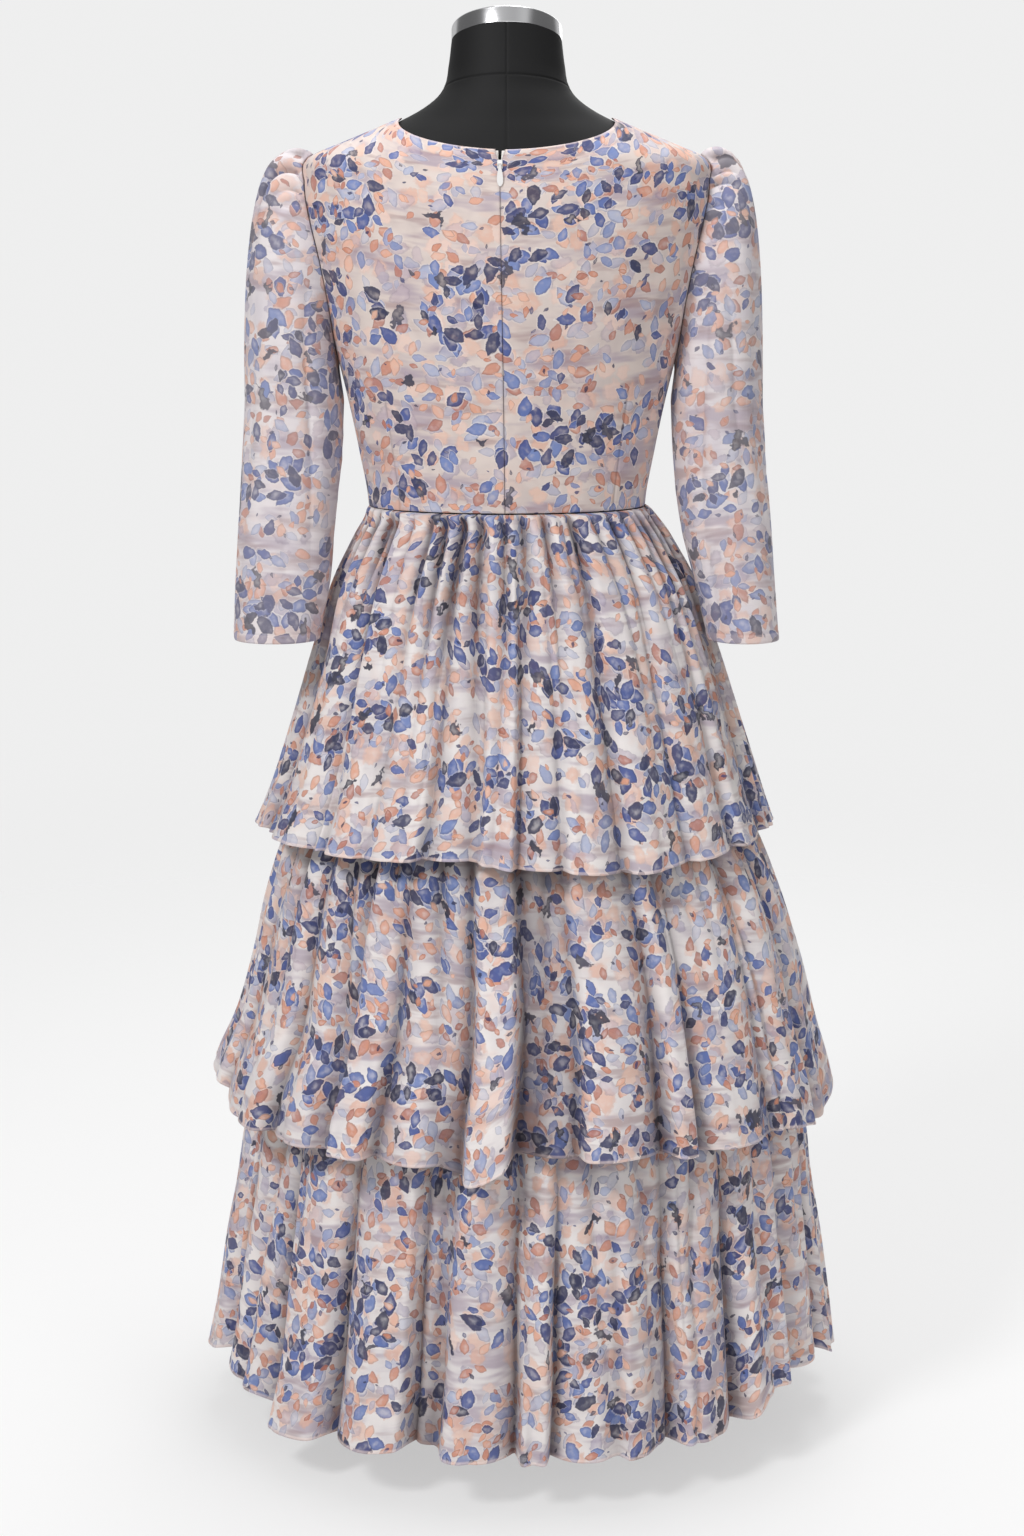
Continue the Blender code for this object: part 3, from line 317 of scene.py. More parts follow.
class Profile:
    """Sizes that change smoothly with height, read from a short table of rows."""

    def __init__(self, rows: list) -> None:
        """Sorts the rows by height.

        Args:
            rows: Named tuples whose first field is a height.
        """
        ordered = sorted(rows, key=lambda row: row.height)
        self.kind = type(ordered[0])
        self.rows = np.array(ordered, float)
        self.slopes = np.gradient(self.rows, self.rows[:, 0], axis=0)

    def at(self, height: Array) -> NamedTuple:
        """Reads the table on a cubic curve through its rows.

        Args:
            height: Heights of any shape.

        Returns:
            A row of the table's kind, whose fields have the shape of height.
        """
        height = np.asarray(height, float)
        heights = self.rows[:, 0]
        place = np.clip(np.searchsorted(heights, height) - 1, 0, len(heights) - 2)
        step = heights[place + 1] - heights[place]
        s = (height - heights[place]) / step
        start = ((1 + 2 * s) * (1 - s) ** 2)[..., None]
        end = (s * s * (3 - 2 * s))[..., None]
        leave = (s * (1 - s) ** 2 * step)[..., None]
        arrive = (s * s * (s - 1) * step)[..., None]
        row = start * self.rows[place] + end * self.rows[place + 1]
        row = row + leave * self.slopes[place] + arrive * self.slopes[place + 1]
        return self.kind(*np.moveaxis(row, -1, 0))


def depth_at(turn: Array, ring: NamedTuple) -> Array:
    """A ring's depth on the side that an angle in radians points to, its back or its front."""
    return np.where(np.cos(turn) > 0, ring.back, ring.front)


def grid_normals(points: Array, closed: bool) -> Array:
    """Unit normals of a grid of points, rows by columns, on its across x up side.

    Args:
        points: Places, with rows first and columns second.
        closed: Whether the first and last columns are the same line.

    Returns:
        An array of the same shape as points.
    """
    along = np.gradient(points, axis=1)
    if closed:
        along[:, 0] = points[:, 1] - points[:, -2]
        along[:, -1] = along[:, 0]
    normal = np.cross(along, -np.gradient(points, axis=0))
    return normal / np.maximum(np.linalg.norm(normal, axis=-1, keepdims=True), 1e-12)


class BodyShape:
    """The dress form's surface, which the bodice lies on."""

    profile = Profile(FORM_SECTIONS)

    @classmethod
    def point(cls, angle: Array, height: Array) -> Array:
        """A place on the form, by degrees from the back centre and height.

        Args:
            angle: Degrees from the back centre.
            height: Heights in metres.

        Returns:
            Places in metres.
        """
        angle, height = np.broadcast_arrays(angle, height)
        section = cls.profile.at(height)
        turn = np.radians(angle)
        y = -depth_at(turn, section) * np.cos(turn)
        mound = bump(np.abs(turned(angle)) - BUST_ANGLE, BUST_SPREAD)
        y = y + BUST_LIFT * mound * bump(height - BUST_HEIGHT, BUST_RISE)
        x = section.half_width * np.sin(turn)
        return np.stack((x, y, height - section.lean * y), axis=-1)

    @classmethod
    def normal(cls, angle: Array, height: Array) -> Array:
        """The form's outward unit normal at a place.

        Args:
            angle: Degrees from the back centre.
            height: Heights in metres.

        Returns:
            Unit vectors.
        """
        along = cls.point(angle + 0.5, height) - cls.point(angle - 0.5, height)
        over = cls.point(angle, height + 0.001) - cls.point(angle, height - 0.001)
        normal = np.cross(along, over)
        return normal / np.linalg.norm(normal, axis=-1, keepdims=True)

    @classmethod
    def over(cls, angle: Array, height: Array, rise: Array) -> Array:
        """A place that lies rise above the form."""
        return cls.point(angle, height) + cls.normal(angle, height) * np.asarray(rise)[..., None]


def ease_at(angle: Array, height: Array) -> Array:
    """The air between the form and the bodice, least on the shoulders.

    Args:
        angle: Degrees from the back centre.
        height: Heights in metres.

    Returns:
        Distances in metres.
    """
    shoulder = np.abs(np.sin(np.radians(angle))) ** SHOULDER_FOCUS
    shoulder = shoulder * smooth_step((height - SHOULDER_LOW) / SHOULDER_BAND)
    return SHOULDER_REST + (EASE - SHOULDER_REST) * (1 - shoulder)


def neck_height(angle: Array) -> Array:
    """The height of the round neck edge at an angle.

    Args:
        angle: Degrees from the back centre.

    Returns:
        Heights in metres.
    """
    turn = np.radians(angle)
    centre = np.where(np.cos(turn) > 0, BACK_NECK, FRONT_NECK)
    return centre + (NECK_POINT - centre) * np.abs(np.sin(turn)) ** NECK_ROUNDNESS


def armhole_edge(share: Array, bite: float) -> Array:
    """The angle of a panel's side edge at a share of its height.

    Args:
        share: Shares of the panel's height, from the waist.
        bite: How far the armhole cuts in, in degrees.

    Returns:
        Degrees from the back centre.
    """
    reach = (share - UNDERARM_SHARE) / (SHOULDER_SHARE - UNDERARM_SHARE)
    inside = np.clip(reach, 0.0, 1.0)
    return 90.0 - bite * np.sin(np.pi * inside) ** ARMHOLE_FULLNESS


def row_height(angle: Array, share: Array) -> Array:
    """The height of a bodice row, from the waist at 0 to the neck edge at 1."""
    foot = WAIST + SEAM
    return foot + (neck_height(angle) - foot) * share


@dataclass(frozen=True)
class Grid:
    """A sheet's columns and rows, and where they crowd together.

    Attributes:
        columns: Number of faces across.
        rows: Number of faces down.
        across_knots: Pairs of even share and real share across.
        down_knots: Pairs of even share and real share down.
        closed: Whether the last column meets the first.
        unwrapped: Whether the sheet is laid flat by unwrapping it.
    """

    columns: int
    rows: int
    across_knots: tuple[tuple[float, float], ...] = ((0.0, 0.0), (1.0, 1.0))
    down_knots: tuple[tuple[float, float], ...] = ((0.0, 0.0), (1.0, 1.0))
    closed: bool = False
    unwrapped: bool = False

    @staticmethod
    def spread(share: Array, knots: tuple[tuple[float, float], ...]) -> Array:
        """Moves even shares to where the knots put them."""
        even, real = zip(*knots)
        return np.interp(share, even, real)


@dataclass
class Shell:
    """A finished sheet's points before it becomes an object.

    Attributes:
        points: Places, rows by columns.
        flat: The sheet's own coordinates in metres, rows by columns.
        seam: How close each point is to a sewn line, 0 to 1.
        hem: How far each point is in a turned hem, which gets a painted highlight, 0 to 1.
        shade: How much painted shade each point gets for lying deep in a fold, 0 to 1.
    """

    points: Array
    flat: Array
    seam: Array
    hem: Array
    shade: Union[Array, float] = 0.0


Shape = Callable[[Array, Array], Shell]


def arc_lengths(points: Array, axis: int) -> Array:
    """Lengths of the grid's steps along an axis."""
    return np.linalg.norm(np.diff(points, axis=axis), axis=-1)


def flat_places(points: Array, centre: float) -> Array:
    """Lays a grid out flat by its lengths across and down.

    Args:
        points: Places, rows by columns.
        centre: The share across that stays straight.

    Returns:
        Flat coordinates in metres, rows by columns by 2.
    """
    steps = arc_lengths(points, 1)
    along = np.concatenate((np.zeros((len(points), 1)), np.cumsum(steps, axis=1)), axis=1)
    middle = int(round(centre * (points.shape[1] - 1)))
    along = along - along[:, middle:middle + 1]
    fall = np.concatenate(((0.0,), np.cumsum(arc_lengths(points, 0).mean(axis=1))))
    down = np.broadcast_to(-fall[:, None], along.shape)
    return np.stack((along, down), axis=-1)


def crease_relief(creases: list[Crease], across: Array, down: Array,
                  width: float, length: float) -> Array:
    """Adds up soft creases over a sheet.

    Args:
        creases: The creases, by shares across and down.
        across: Shares across.
        down: Shares down.
        width: The sheet's width in metres.
        length: The sheet's length in metres.

    Returns:
        The lift in metres at each point.
    """
    relief = np.zeros(np.broadcast(across, down).shape)
    x, y = across * width, down * length
    for crease in creases:
        start = np.array((crease.across * width, crease.down * length))
        way = np.array((crease.across_end * width, crease.down_end * length)) - start
        reach = max(float(np.hypot(*way)), 1e-6)
        along = ((x - start[0]) * way[0] + (y - start[1]) * way[1]) / reach**2
        off = np.abs((x - start[0]) * way[1] - (y - start[1]) * way[0]) / reach
        fade = smooth_step(1.5 - np.abs(2 * along - 1) * 1.5)
        relief = relief + crease.lift * bump(off, crease.width) * fade
    return relief


class Number:
    """A number that varies over a surface: a shader socket with arithmetic."""

    def __init__(self, recipe: "Recipe", socket: Socket) -> None:
        """Wraps an output socket of a recipe's node."""
        self.recipe = recipe
        self.socket = socket

    def __add__(self, other: "Amount") -> "Number":
        """The sum."""
        return self.recipe.math("ADD", self, other)

    __radd__ = __add__

    def __sub__(self, other: "Amount") -> "Number":
        """The difference."""
        return self.recipe.math("SUBTRACT", self, other)

    def __rsub__(self, other: "Amount") -> "Number":
        """The difference, reflected."""
        return self.recipe.math("SUBTRACT", other, self)

    def __mul__(self, other: "Amount") -> "Number":
        """The product."""
        return self.recipe.math("MULTIPLY", self, other)

    __rmul__ = __mul__

    def __truediv__(self, other: "Amount") -> "Number":
        """The quotient."""
        return self.recipe.math("DIVIDE", self, other)

    def __lt__(self, other: "Amount") -> "Number":
        """1 where this is less than the other, else 0."""
        return self.recipe.math("LESS_THAN", self, other)

    def root(self) -> "Number":
        """The square root."""
        return self.recipe.math("SQRT", self)

    def fract(self) -> "Number":
        """The part after the point."""
        return self.recipe.math("FRACT", self)

    def between(self, low: float, high: float) -> "Number":
        """Eases from 0 at low to 1 at high, which may be the smaller one.

        Args:
            low: Where the result is 0.
            high: Where it is 1.

        Returns:
            The eased number.
        """
        bounds = {"Value": self, "From Min": low, "From Max": high, "To Min": 0.0, "To Max": 1.0}
        made = self.recipe.node(
            "ShaderNodeMapRange", {"interpolation_type": "SMOOTHSTEP"}, bounds
        )
        return Number(self.recipe, made.outputs[0])


Amount = Union[float, Number]


class Recipe:
    """A material's or the surroundings' node graph, built one node at a time."""

    def __init__(self, name: str, output: str = "ShaderNodeOutputMaterial") -> None:
        """Makes an empty graph.

        Args:
            name: The material's or the surroundings' name.
            output: The output node's type, which says which of the two it is.
        """
        kept = bpy.data.materials if output == "ShaderNodeOutputMaterial" else bpy.data.worlds
        self.output = output
        self.owner = kept.new(name)
        self.owner.use_nodes = True
        self.tree = self.owner.node_tree
        self.tree.nodes.clear()

    def node(self, kind: str, settings: dict, sockets: dict) -> bpy.types.Node:
        """Adds one node.

        Args:
            kind: The node's type.
            settings: Its properties; "stops" gives a ramp's places and colours.
            sockets: Values or links of its inputs, by name or number.

        Returns:
            The node.
        """
        made = self.tree.nodes.new(kind)
        for name, value in settings.items():
            if name == "stops":
                ramp = made.color_ramp
                for element, (place, colour) in zip(ramp.elements, (value[0], value[-1])):
                    element.position = place
                    element.color = colour
                for place, colour in value[1:-1]:
                    ramp.elements.new(place).color = colour
            elif name == "interpolation":
                made.color_ramp.interpolation = value
            else:
                setattr(made, name, value)
        for name, value in sockets.items():
            if isinstance(value, Number):
                value = value.socket
            if isinstance(value, Socket):
                self.tree.links.new(value, made.inputs[name])
            else:
                made.inputs[name].default_value = value
        return made

    def math(self, operation: str, first: Amount, second: Amount = 0.0) -> Number:
        """One Math node on two amounts."""
        made = self.node("ShaderNodeMath", {"operation": operation}, {0: first, 1: second})
        return Number(self, made.outputs[0])

    def vector(self, operation: str, first: object, second: object) -> Socket:
        """One Vector Math node on two vectors, or on a vector and a scale.

        Args:
            operation: The node's operation.
            first: The first input.
            second: The second input.

        Returns:
            The result's socket.
        """
        place = 3 if operation == "SCALE" else 1
        settings = {"operation": operation}
        made = self.node("ShaderNodeVectorMath", settings, {0: first, place: second})
        return made.outputs[0]

    def mix(self, factor: Amount, first: object, second: object, blend: str = "MIX") -> Socket:
        """Mixes two colours.

        Args:
            factor: How much of the second shows.
            first: The first input.
            second: The second input.
            blend: The way of mixing.

        Returns:
            The mixed colour's socket.
        """
        settings = {"data_type": "RGBA", "blend_type": blend, "clamp_factor": True}
        made = self.node("ShaderNodeMix", settings, {0: factor, 6: first, 7: second})
        return made.outputs[2]

    def split(self, vector: Socket) -> tuple[Number, Number, Number]:
        """A vector's three parts."""
        made = self.node("ShaderNodeSeparateXYZ", {}, {0: vector})
        return tuple(Number(self, made.outputs[i]) for i in range(3))

    def noise(self, place: object, scale: float, detail: float = 2.0,
              roughness: float = 0.5) -> bpy.types.Node:
        """A noise node on a place."""
        return self.node(
            "ShaderNodeTexNoise", {"noise_dimensions": "3D"},
            {"Vector": place, "Scale": scale, "Detail": detail, "Roughness": roughness},
        )

    def noise_value(self, place: object, scale: float, detail: float = 2.0,
                    roughness: float = 0.5) -> Number:
        """A noise's value on a place."""
        return Number(self, self.noise(place, scale, detail, roughness).outputs[0])

    def stretched(self, place: object, x: float, y: float, z: float) -> Socket:
        """A place with its axes multiplied."""
        return self.vector("MULTIPLY", place, (x, y, z))

    def uv(self) -> Socket:
        """The cloth's own flat coordinates, in metres."""
        return self.node("ShaderNodeUVMap", {"uv_map": UV_NAME}, {}).outputs[0]

    def attribute(self, name: str) -> Number:
        """A number kept on the mesh's points."""
        made = self.node("ShaderNodeAttribute", {"attribute_name": name}, {})
        return Number(self, made.outputs["Fac"])

    def object_place(self) -> Socket:
        """The piece's own place in metres."""
        return self.node("ShaderNodeTexCoord", {}, {}).outputs["Object"]

    def relief(self, height: Number, distance: float, strength: float) -> Socket:
        """A Bump node's normal from a height."""
        sockets = {"Height": height, "Distance": distance, "Strength": strength}
        return self.node("ShaderNodeBump", {}, sockets).outputs[0]

    def surface(self, sockets: dict) -> bpy.types.Node:
        """A Principled shader with those sockets."""
        return self.node("ShaderNodeBsdfPrincipled", {}, sockets)

    def either(self, factor: Amount, first: bpy.types.Node, second: bpy.types.Node) -> Socket:
        """Mixes two shaders."""
        sockets = {0: factor, 1: first.outputs[0], 2: second.outputs[0]}
        return self.node("ShaderNodeMixShader", {}, sockets).outputs[0]

    def done(self, shader: Socket) -> bpy.types.ID:
        """Links the surface and returns the material or the surroundings."""
        self.node(self.output, {}, {"Surface": shader})
        return self.owner


class Wash(NamedTuple):
    """A soft wash on the ground: its stretched noise, the noise's bounds, and its tint."""

    stretch: tuple[float, float, float]
    start: tuple[float, float, float]
    detail: float
    roughness: float
    low: float
    high: float
    strength: float
    tint: Colour


WASHES = (
    Wash((18.0, 36.0, 1.0), (4.0, 9.0, 0.0), 2.0, 0.55, 0.54, 0.74, 0.42, srgb(230, 198, 184)),
    Wash((8.0, 38.0, 1.0), (0.0, 0.0, 0.0), 3.0, 0.62, 0.48, 0.64, 0.72, srgb(168, 152, 168)),
    Wash((10.0, 52.0, 1.0), (7.0, 3.0, 0.0), 3.0, 0.60, 0.52, 0.67, 0.58, srgb(160, 130, 132)),
)


class Drift(Enum):
    """Which part of the print a layer of dabs gathers in."""

    EVEN = "even"
    BANDS = "bands"
    CLUSTERS = "clusters"


class Outline(Enum):
    """The outline of a layer's dabs."""

    LEAF = "leaf"
    BLOB = "blob"


@dataclass(frozen=True)
class Dabs:
    """One layer of painted dabs in the print.

    Attributes:
        spacing: Distance between dabs in metres.
        length: Half a dab's length as a share of the spacing.
        slim: A dab's width as a share of its length.
        share: How many of the places hold a dab.
        drift: Where the dabs gather.
        tints: The dabs' colours, one of which each takes.
        rim: How much darker the edge is.
        cover: How much the paint hides what is under it.
        ragged: How uneven the edges are.
        soft: How soft the edges are.
        halo: How pale the cloth is just round the dab.
        offset: Where the layer starts, so that layers don't align.
        outline: The outline of its dabs.
    """

    spacing: float
    length: float
    slim: float
    share: float
    drift: Drift
    tints: tuple[Colour, ...]
    rim: float
    cover: float
    ragged: float
    soft: float
    halo: float
    offset: tuple[float, float]
    outline: Outline = Outline.LEAF


PEACH = (srgb(232, 192, 172), srgb(226, 178, 156), srgb(236, 204, 190))
RUST = (srgb(206, 134, 106), srgb(226, 162, 132), srgb(182, 112, 94), srgb(232, 180, 156))
MAUVE = (srgb(178, 164, 182), srgb(160, 150, 178), srgb(196, 178, 188))
PERIWINKLE = (srgb(138, 154, 198), srgb(112, 132, 184), srgb(168, 178, 208))
ROYAL = (srgb(62, 84, 150), srgb(84, 108, 172), srgb(48, 62, 122), srgb(110, 132, 188))
NAVY = (srgb(46, 52, 94), srgb(58, 66, 116), srgb(42, 46, 80))
CHARCOAL = (srgb(62, 62, 80), srgb(52, 54, 74), srgb(80, 78, 94))

PRINT_LAYERS = (
    Dabs(0.024, 0.56, 0.70, 0.66, Drift.EVEN, PEACH, 0.08, 0.72, 0.50, 0.30, 0.0, (3.1, 7.7),
         Outline.BLOB),
    Dabs(0.024, 0.58, 0.48, 0.52, Drift.EVEN, MAUVE, 0.30, 0.52, 0.45, 0.22, 0.0, (11.3, 2.9),
         Outline.BLOB),
    Dabs(0.0200, 0.62, 0.46, 0.52, Drift.EVEN, PERIWINKLE, 0.50, 0.42, 0.24, 0.12, 0.3,
         (71.3, 5.9)),
    Dabs(0.0185, 0.60, 0.52, 0.58, Drift.EVEN, RUST, 0.40, 0.80, 0.24, 0.14, 0.2, (5.7, 19.1)),
    Dabs(0.0210, 0.60, 0.47, 0.46, Drift.BANDS, PERIWINKLE, 0.42, 0.78, 0.24, 0.10, 0.35,
         (23.9, 4.3)),
    Dabs(0.0185, 0.74, 0.50, 0.80, Drift.CLUSTERS, ROYAL, 0.42, 0.93, 0.24, 0.08, 0.50,
         (8.3, 31.7)),
    Dabs(0.028, 0.46, 0.50, 0.42, Drift.EVEN, ROYAL, 0.42, 0.90, 0.20, 0.07, 0.50, (41.9, 13.3)),
    Dabs(0.0205, 0.70, 0.46, 0.56, Drift.CLUSTERS, NAVY, 0.20, 0.92, 0.30, 0.08, 0.3,
         (17.3, 47.9)),
    Dabs(0.0150, 0.50, 0.46, 0.32, Drift.BANDS, RUST, 0.45, 0.86, 0.26, 0.12, 0.25,
         (61.1, 71.3)),
    Dabs(0.054, 0.23, 0.46, 0.42, Drift.EVEN, CHARCOAL, 0.10, 0.94, 0.80, 0.10, 0.0,
         (29.1, 37.1), Outline.BLOB),
    Dabs(0.020, 0.20, 0.42, 0.38, Drift.EVEN, NAVY, 0.10, 0.84, 0.26, 0.14, 0.0, (53.3, 59.7)),
)

# How the dabs are shaped and gathered, and the spacing whose brush the fine layers share.
FULL_TURN = 6.2832
DAB_SCATTER = 0.85
SMALLEST_DAB = 0.46
DAB_TAPER = 0.45
CHOP_SLOPE = 0.95
CHOP_START = 0.22
CLUSTER_SCALE = 8.5
BAND_SCALE = 17.0
EDGE_SPACING = 0.021
WIDE_SPACING = 0.040
EDGE_NOISE = (2.6, 3.0, 0.6)
WASH_NOISE = (2.2, 2.0)
WASH_BOUNDS = (0.42, 0.68)

# Tints that every printed piece shares.
HALO_TINT = srgb(236, 228, 224)
RIM_TINT = srgb(110, 104, 140)
# Painted highlight: the pale tint that turned hems take.
HEM_HIGHLIGHT_TINT = srgb(240, 218, 211)
SEAM_TINT = srgb(96, 78, 84)
LIGHT_TINT = srgb(232, 214, 208)
# Painted shade: the dark tint that the cloth takes deep in its folds.
FOLD_SHADE_TINT = srgb(98, 88, 97)


@dataclass(frozen=True)
class PrintedChiffon:
    """The printed cloth: a pale ground, soft washes and layers of painted dabs.

    Attributes:
        name: The material's name.
        ground: The cloth's own colour.
        ground_low: The ground's darker colour in its soft washes.
        light_through: How much light the cloth lets through.
        crinkle: Depth of the fine vertical crepe lines, in metres.
        fold_shade: How strongly painted shade darkens the cloth deep in its folds.
        veil: How much the ground shows through the paint.
    """

    name: str
    ground: Colour
    ground_low: Colour
    light_through: float
    crinkle: float
    fold_shade: float
    veil: float = 0.0

    def washes(self, recipe: Recipe, uv: Socket) -> Socket:
        """The ground with its soft washes and horizontal smudges.

        Args:
            recipe: The material's graph.
            uv: The cloth's flat coordinates.

        Returns:
            The colour with the washes on it.
        """
        cloudy = recipe.noise_value(uv, 26.0, 3.0)
        colour = recipe.mix(cloudy.between(0.35, 0.70), self.ground, self.ground_low)
        for wash in WASHES:
            place = recipe.vector("ADD", recipe.stretched(uv, *wash.stretch), wash.start)
            cloud = recipe.noise_value(place, 1.0, wash.detail, wash.roughness)
            strength = cloud.between(wash.low, wash.high) * wash.strength
            colour = recipe.mix(strength, colour, wash.tint)
        return colour

    @staticmethod
    def brush(recipe: Recipe, uv: Socket, spacing: float) -> tuple[Socket, Number]:
        """The uneven edges and the wash of the brush, which layers of like spacing share.

        Args:
            recipe: The material's graph.
            uv: The cloth's flat coordinates.
            spacing: Distance between dabs in metres.

        Returns:
            The edges' vector, and the wash's amount.
        """
        scaled = recipe.vector("SCALE", uv, 1.0 / spacing)
        edges = recipe.noise(scaled, *EDGE_NOISE).outputs[1]
        edges = recipe.vector("SUBTRACT", edges, (0.5, 0.5, 0.5))
        return edges, recipe.noise_value(scaled, *WASH_NOISE).between(*WASH_BOUNDS)

    def dabs(self, recipe: Recipe, uv: Socket, under: Socket,
             layer: Dabs, brush: tuple[Socket, Number]) -> Socket:
        """Paints one layer of dabs over what is under it.

        Args:
            recipe: The material's graph.
            uv: The cloth's flat coordinates.
            under: The colour so far.
            layer: The layer's sizes and tints.
            brush: The uneven edges and the wash of its dabs.

        Returns:
            The colour with the layer on it.
        """
        wobble, wash = brush
        shifted = recipe.vector("SCALE", uv, 1.0 / layer.spacing)
        shifted = recipe.vector("ADD", shifted, (*layer.offset, 0.0))
        place = recipe.vector("ADD", shifted, recipe.vector("SCALE", wobble, layer.ragged))
        place = recipe.vector("MULTIPLY", place, (1.0, 1.0, 0.0))
        cell = recipe.node(
            "ShaderNodeTexVoronoi", {"voronoi_dimensions": "2D", "feature": "F1"},
            {"Vector": place, "Scale": 1.0, "Randomness": DAB_SCATTER},
        )
        local = recipe.vector("SUBTRACT", place, cell.outputs["Position"])
        pick, chance, grow = recipe.split(cell.outputs["Color"])
        spun = recipe.node(
            "ShaderNodeVectorRotate", {"rotation_type": "Z_AXIS"},
            {"Vector": local, "Center": (0.0, 0.0, 0.0), "Angle": pick * FULL_TURN},
        ).outputs[0]
        x, y, _ = recipe.split(spun)
        size = SMALLEST_DAB + (1.0 - SMALLEST_DAB) * grow
        along = x / (size * layer.length)
        width = (1.0 - DAB_TAPER * along) * (layer.length * layer.slim)
        over = y / (size * width)
        if layer.outline is Outline.LEAF:
            radius = recipe.math("ABSOLUTE", over) + along * along
        else:
            radius = (along * along + over * over).root()
        chopped = along * CHOP_SLOPE + over * (grow - 0.5) + CHOP_START
        radius = recipe.math("MAXIMUM", radius, chopped)
        body = radius.between(1.0 + layer.soft, 1.0 - layer.soft)
        threshold = self.presence(recipe, layer, cell.outputs["Position"])
        here = chance < threshold
        shown = body * here
        stops = [(i / len(layer.tints), tint) for i, tint in enumerate(layer.tints)]
        tint = recipe.node(
            "ShaderNodeValToRGB", {"interpolation": "CONSTANT", "stops": stops},
            {0: (pick * 7.31 + grow * 3.17).fract()},
        ).outputs[0]
        pale = recipe.mix(0.42, tint, self.ground)
        inner = radius.between(0.95, 0.15) * wash
        tint = recipe.mix(inner, tint, pale)
        dark = recipe.mix(0.8, tint, RIM_TINT, "MULTIPLY")
        tint = recipe.mix(radius.between(0.60, 0.98) * layer.rim, tint, dark)
        halo = radius.between(1.34, 1.10) * here * layer.halo
        under = recipe.mix(halo, under, HALO_TINT)
        painted = recipe.mix(shown * layer.cover, under, tint)
        line = radius.between(0.80, 0.92) * radius.between(1.05, 0.98) * here * layer.rim
        return recipe.mix(line * (0.25 + 0.35 * grow), painted, dark)

    def presence(self, recipe: Recipe, layer: Dabs, centre: Socket) -> Amount:
        """The chance that a place holds a dab, by where the layer's dabs gather.

        Args:
            recipe: The material's graph.
            layer: The layer's sizes and tints.
            centre: The middle of the nearest dab.

        Returns:
            The chance, 0 to 1.
        """
        back = recipe.vector("SUBTRACT", centre, (*layer.offset, 0.0))
        metres = recipe.vector("SCALE", back, layer.spacing)
        if layer.drift is Drift.EVEN:
            open_places = recipe.noise_value(recipe.vector("SCALE", back, 0.31), 1.0)
            return layer.share * (0.55 + open_places * 0.9)
        if layer.drift is Drift.CLUSTERS:
            gathered = recipe.noise_value(recipe.stretched(metres, 1.0, 2.0, 1.0), CLUSTER_SCALE)
            return gathered.between(0.51, 0.59) * (layer.share * 1.5)
        bands = recipe.noise_value(recipe.stretched(metres, 0.6, 1.4, 1.0), BAND_SCALE)
        return bands.between(0.40, 0.62) * (layer.share * 1.6)

    def build(self) -> bpy.types.Material:
        """Makes the material.

        Returns:
            The material.
        """
        recipe = Recipe(self.name)
        uv = recipe.uv()
        colour = self.washes(recipe, uv)
        fine = self.brush(recipe, uv, EDGE_SPACING)
        for layer in PRINT_LAYERS:
            wide = layer.spacing > WIDE_SPACING
            brush = self.brush(recipe, uv, layer.spacing) if wide else fine
            colour = self.dabs(recipe, uv, colour, layer, brush)
        colour = recipe.mix(self.veil, colour, self.ground)
        hem = recipe.attribute("hem")
        seam = recipe.attribute("seam")
        # Painted highlight: turned hems are paled towards a light tint.
        colour = recipe.mix(hem * 0.46, colour, HEM_HIGHLIGHT_TINT)
        colour = recipe.mix(seam * 0.30, colour, SEAM_TINT)
        # Painted shade: the colour darkens where the cloth lies deep in a fold.
        shade = recipe.attribute("shade")
        colour = recipe.mix(shade * self.fold_shade, colour, FOLD_SHADE_TINT, "MULTIPLY")
        threads = recipe.noise_value(recipe.stretched(uv, 900.0, 90.0, 1.0), 1.0, 2.0)
        lines = recipe.noise_value(recipe.stretched(uv, 170.0, 5.0, 1.0), 1.0, 3.0)
        fold = recipe.relief(lines, self.crinkle, 0.55)
        weave = recipe.node(
            "ShaderNodeBump", {},
            {"Height": threads, "Distance": 0.00012, "Strength": 0.35, "Normal": fold},
        ).outputs[0]
        cloth = recipe.surface({
            "Base Color": colour, "Roughness": 0.72, "Normal": weave,
            "Sheen Weight": 0.12, "Sheen Roughness": 0.5, "Specular IOR Level": 0.28,
        })
        through = recipe.node(
            "ShaderNodeBsdfTranslucent", {}, {"Color": LIGHT_TINT, "Normal": weave},
        )
        return recipe.done(recipe.either(self.light_through, cloth, through))


@dataclass(frozen=True)
class PlainCloth:
    """Plain woven or knitted cloth with a fine thread relief.

    Attributes:
        name: The material's name.
        colour: The cloth's colour.
        mottle_tone: The second tone that the threads and broad patches take on at random.
        threads: Threads in a metre.
        roughness: How matt it is.
        sheen: How much the fibres glow at the edges.
    """

    name: str
    colour: Colour
    mottle_tone: Colour
    threads: float
    roughness: float
    sheen: float

    def build(self) -> bpy.types.Material:
        """Makes the material.

        Returns:
            The material.
        """
        recipe = Recipe(self.name)
        place = recipe.object_place()
        weave = recipe.noise_value(recipe.vector("SCALE", place, self.threads), 1.0, 2.0)
        broad = recipe.noise_value(place, 14.0, 3.0)
        # The threads and broad patches take on the second tone at random.
        colour = recipe.mix(weave * 0.5 + broad * 0.3, self.colour, self.mottle_tone)
        colour = recipe.mix(recipe.attribute("seam") * 0.6, colour, srgb(10, 10, 11))
        normal = recipe.relief(weave, 0.00018, 0.4)
        cloth = recipe.surface({
            "Base Color": colour, "Roughness": self.roughness, "Normal": normal,
            "Sheen Weight": self.sheen, "Specular IOR Level": 0.2,
        })
        return recipe.done(cloth.outputs[0])


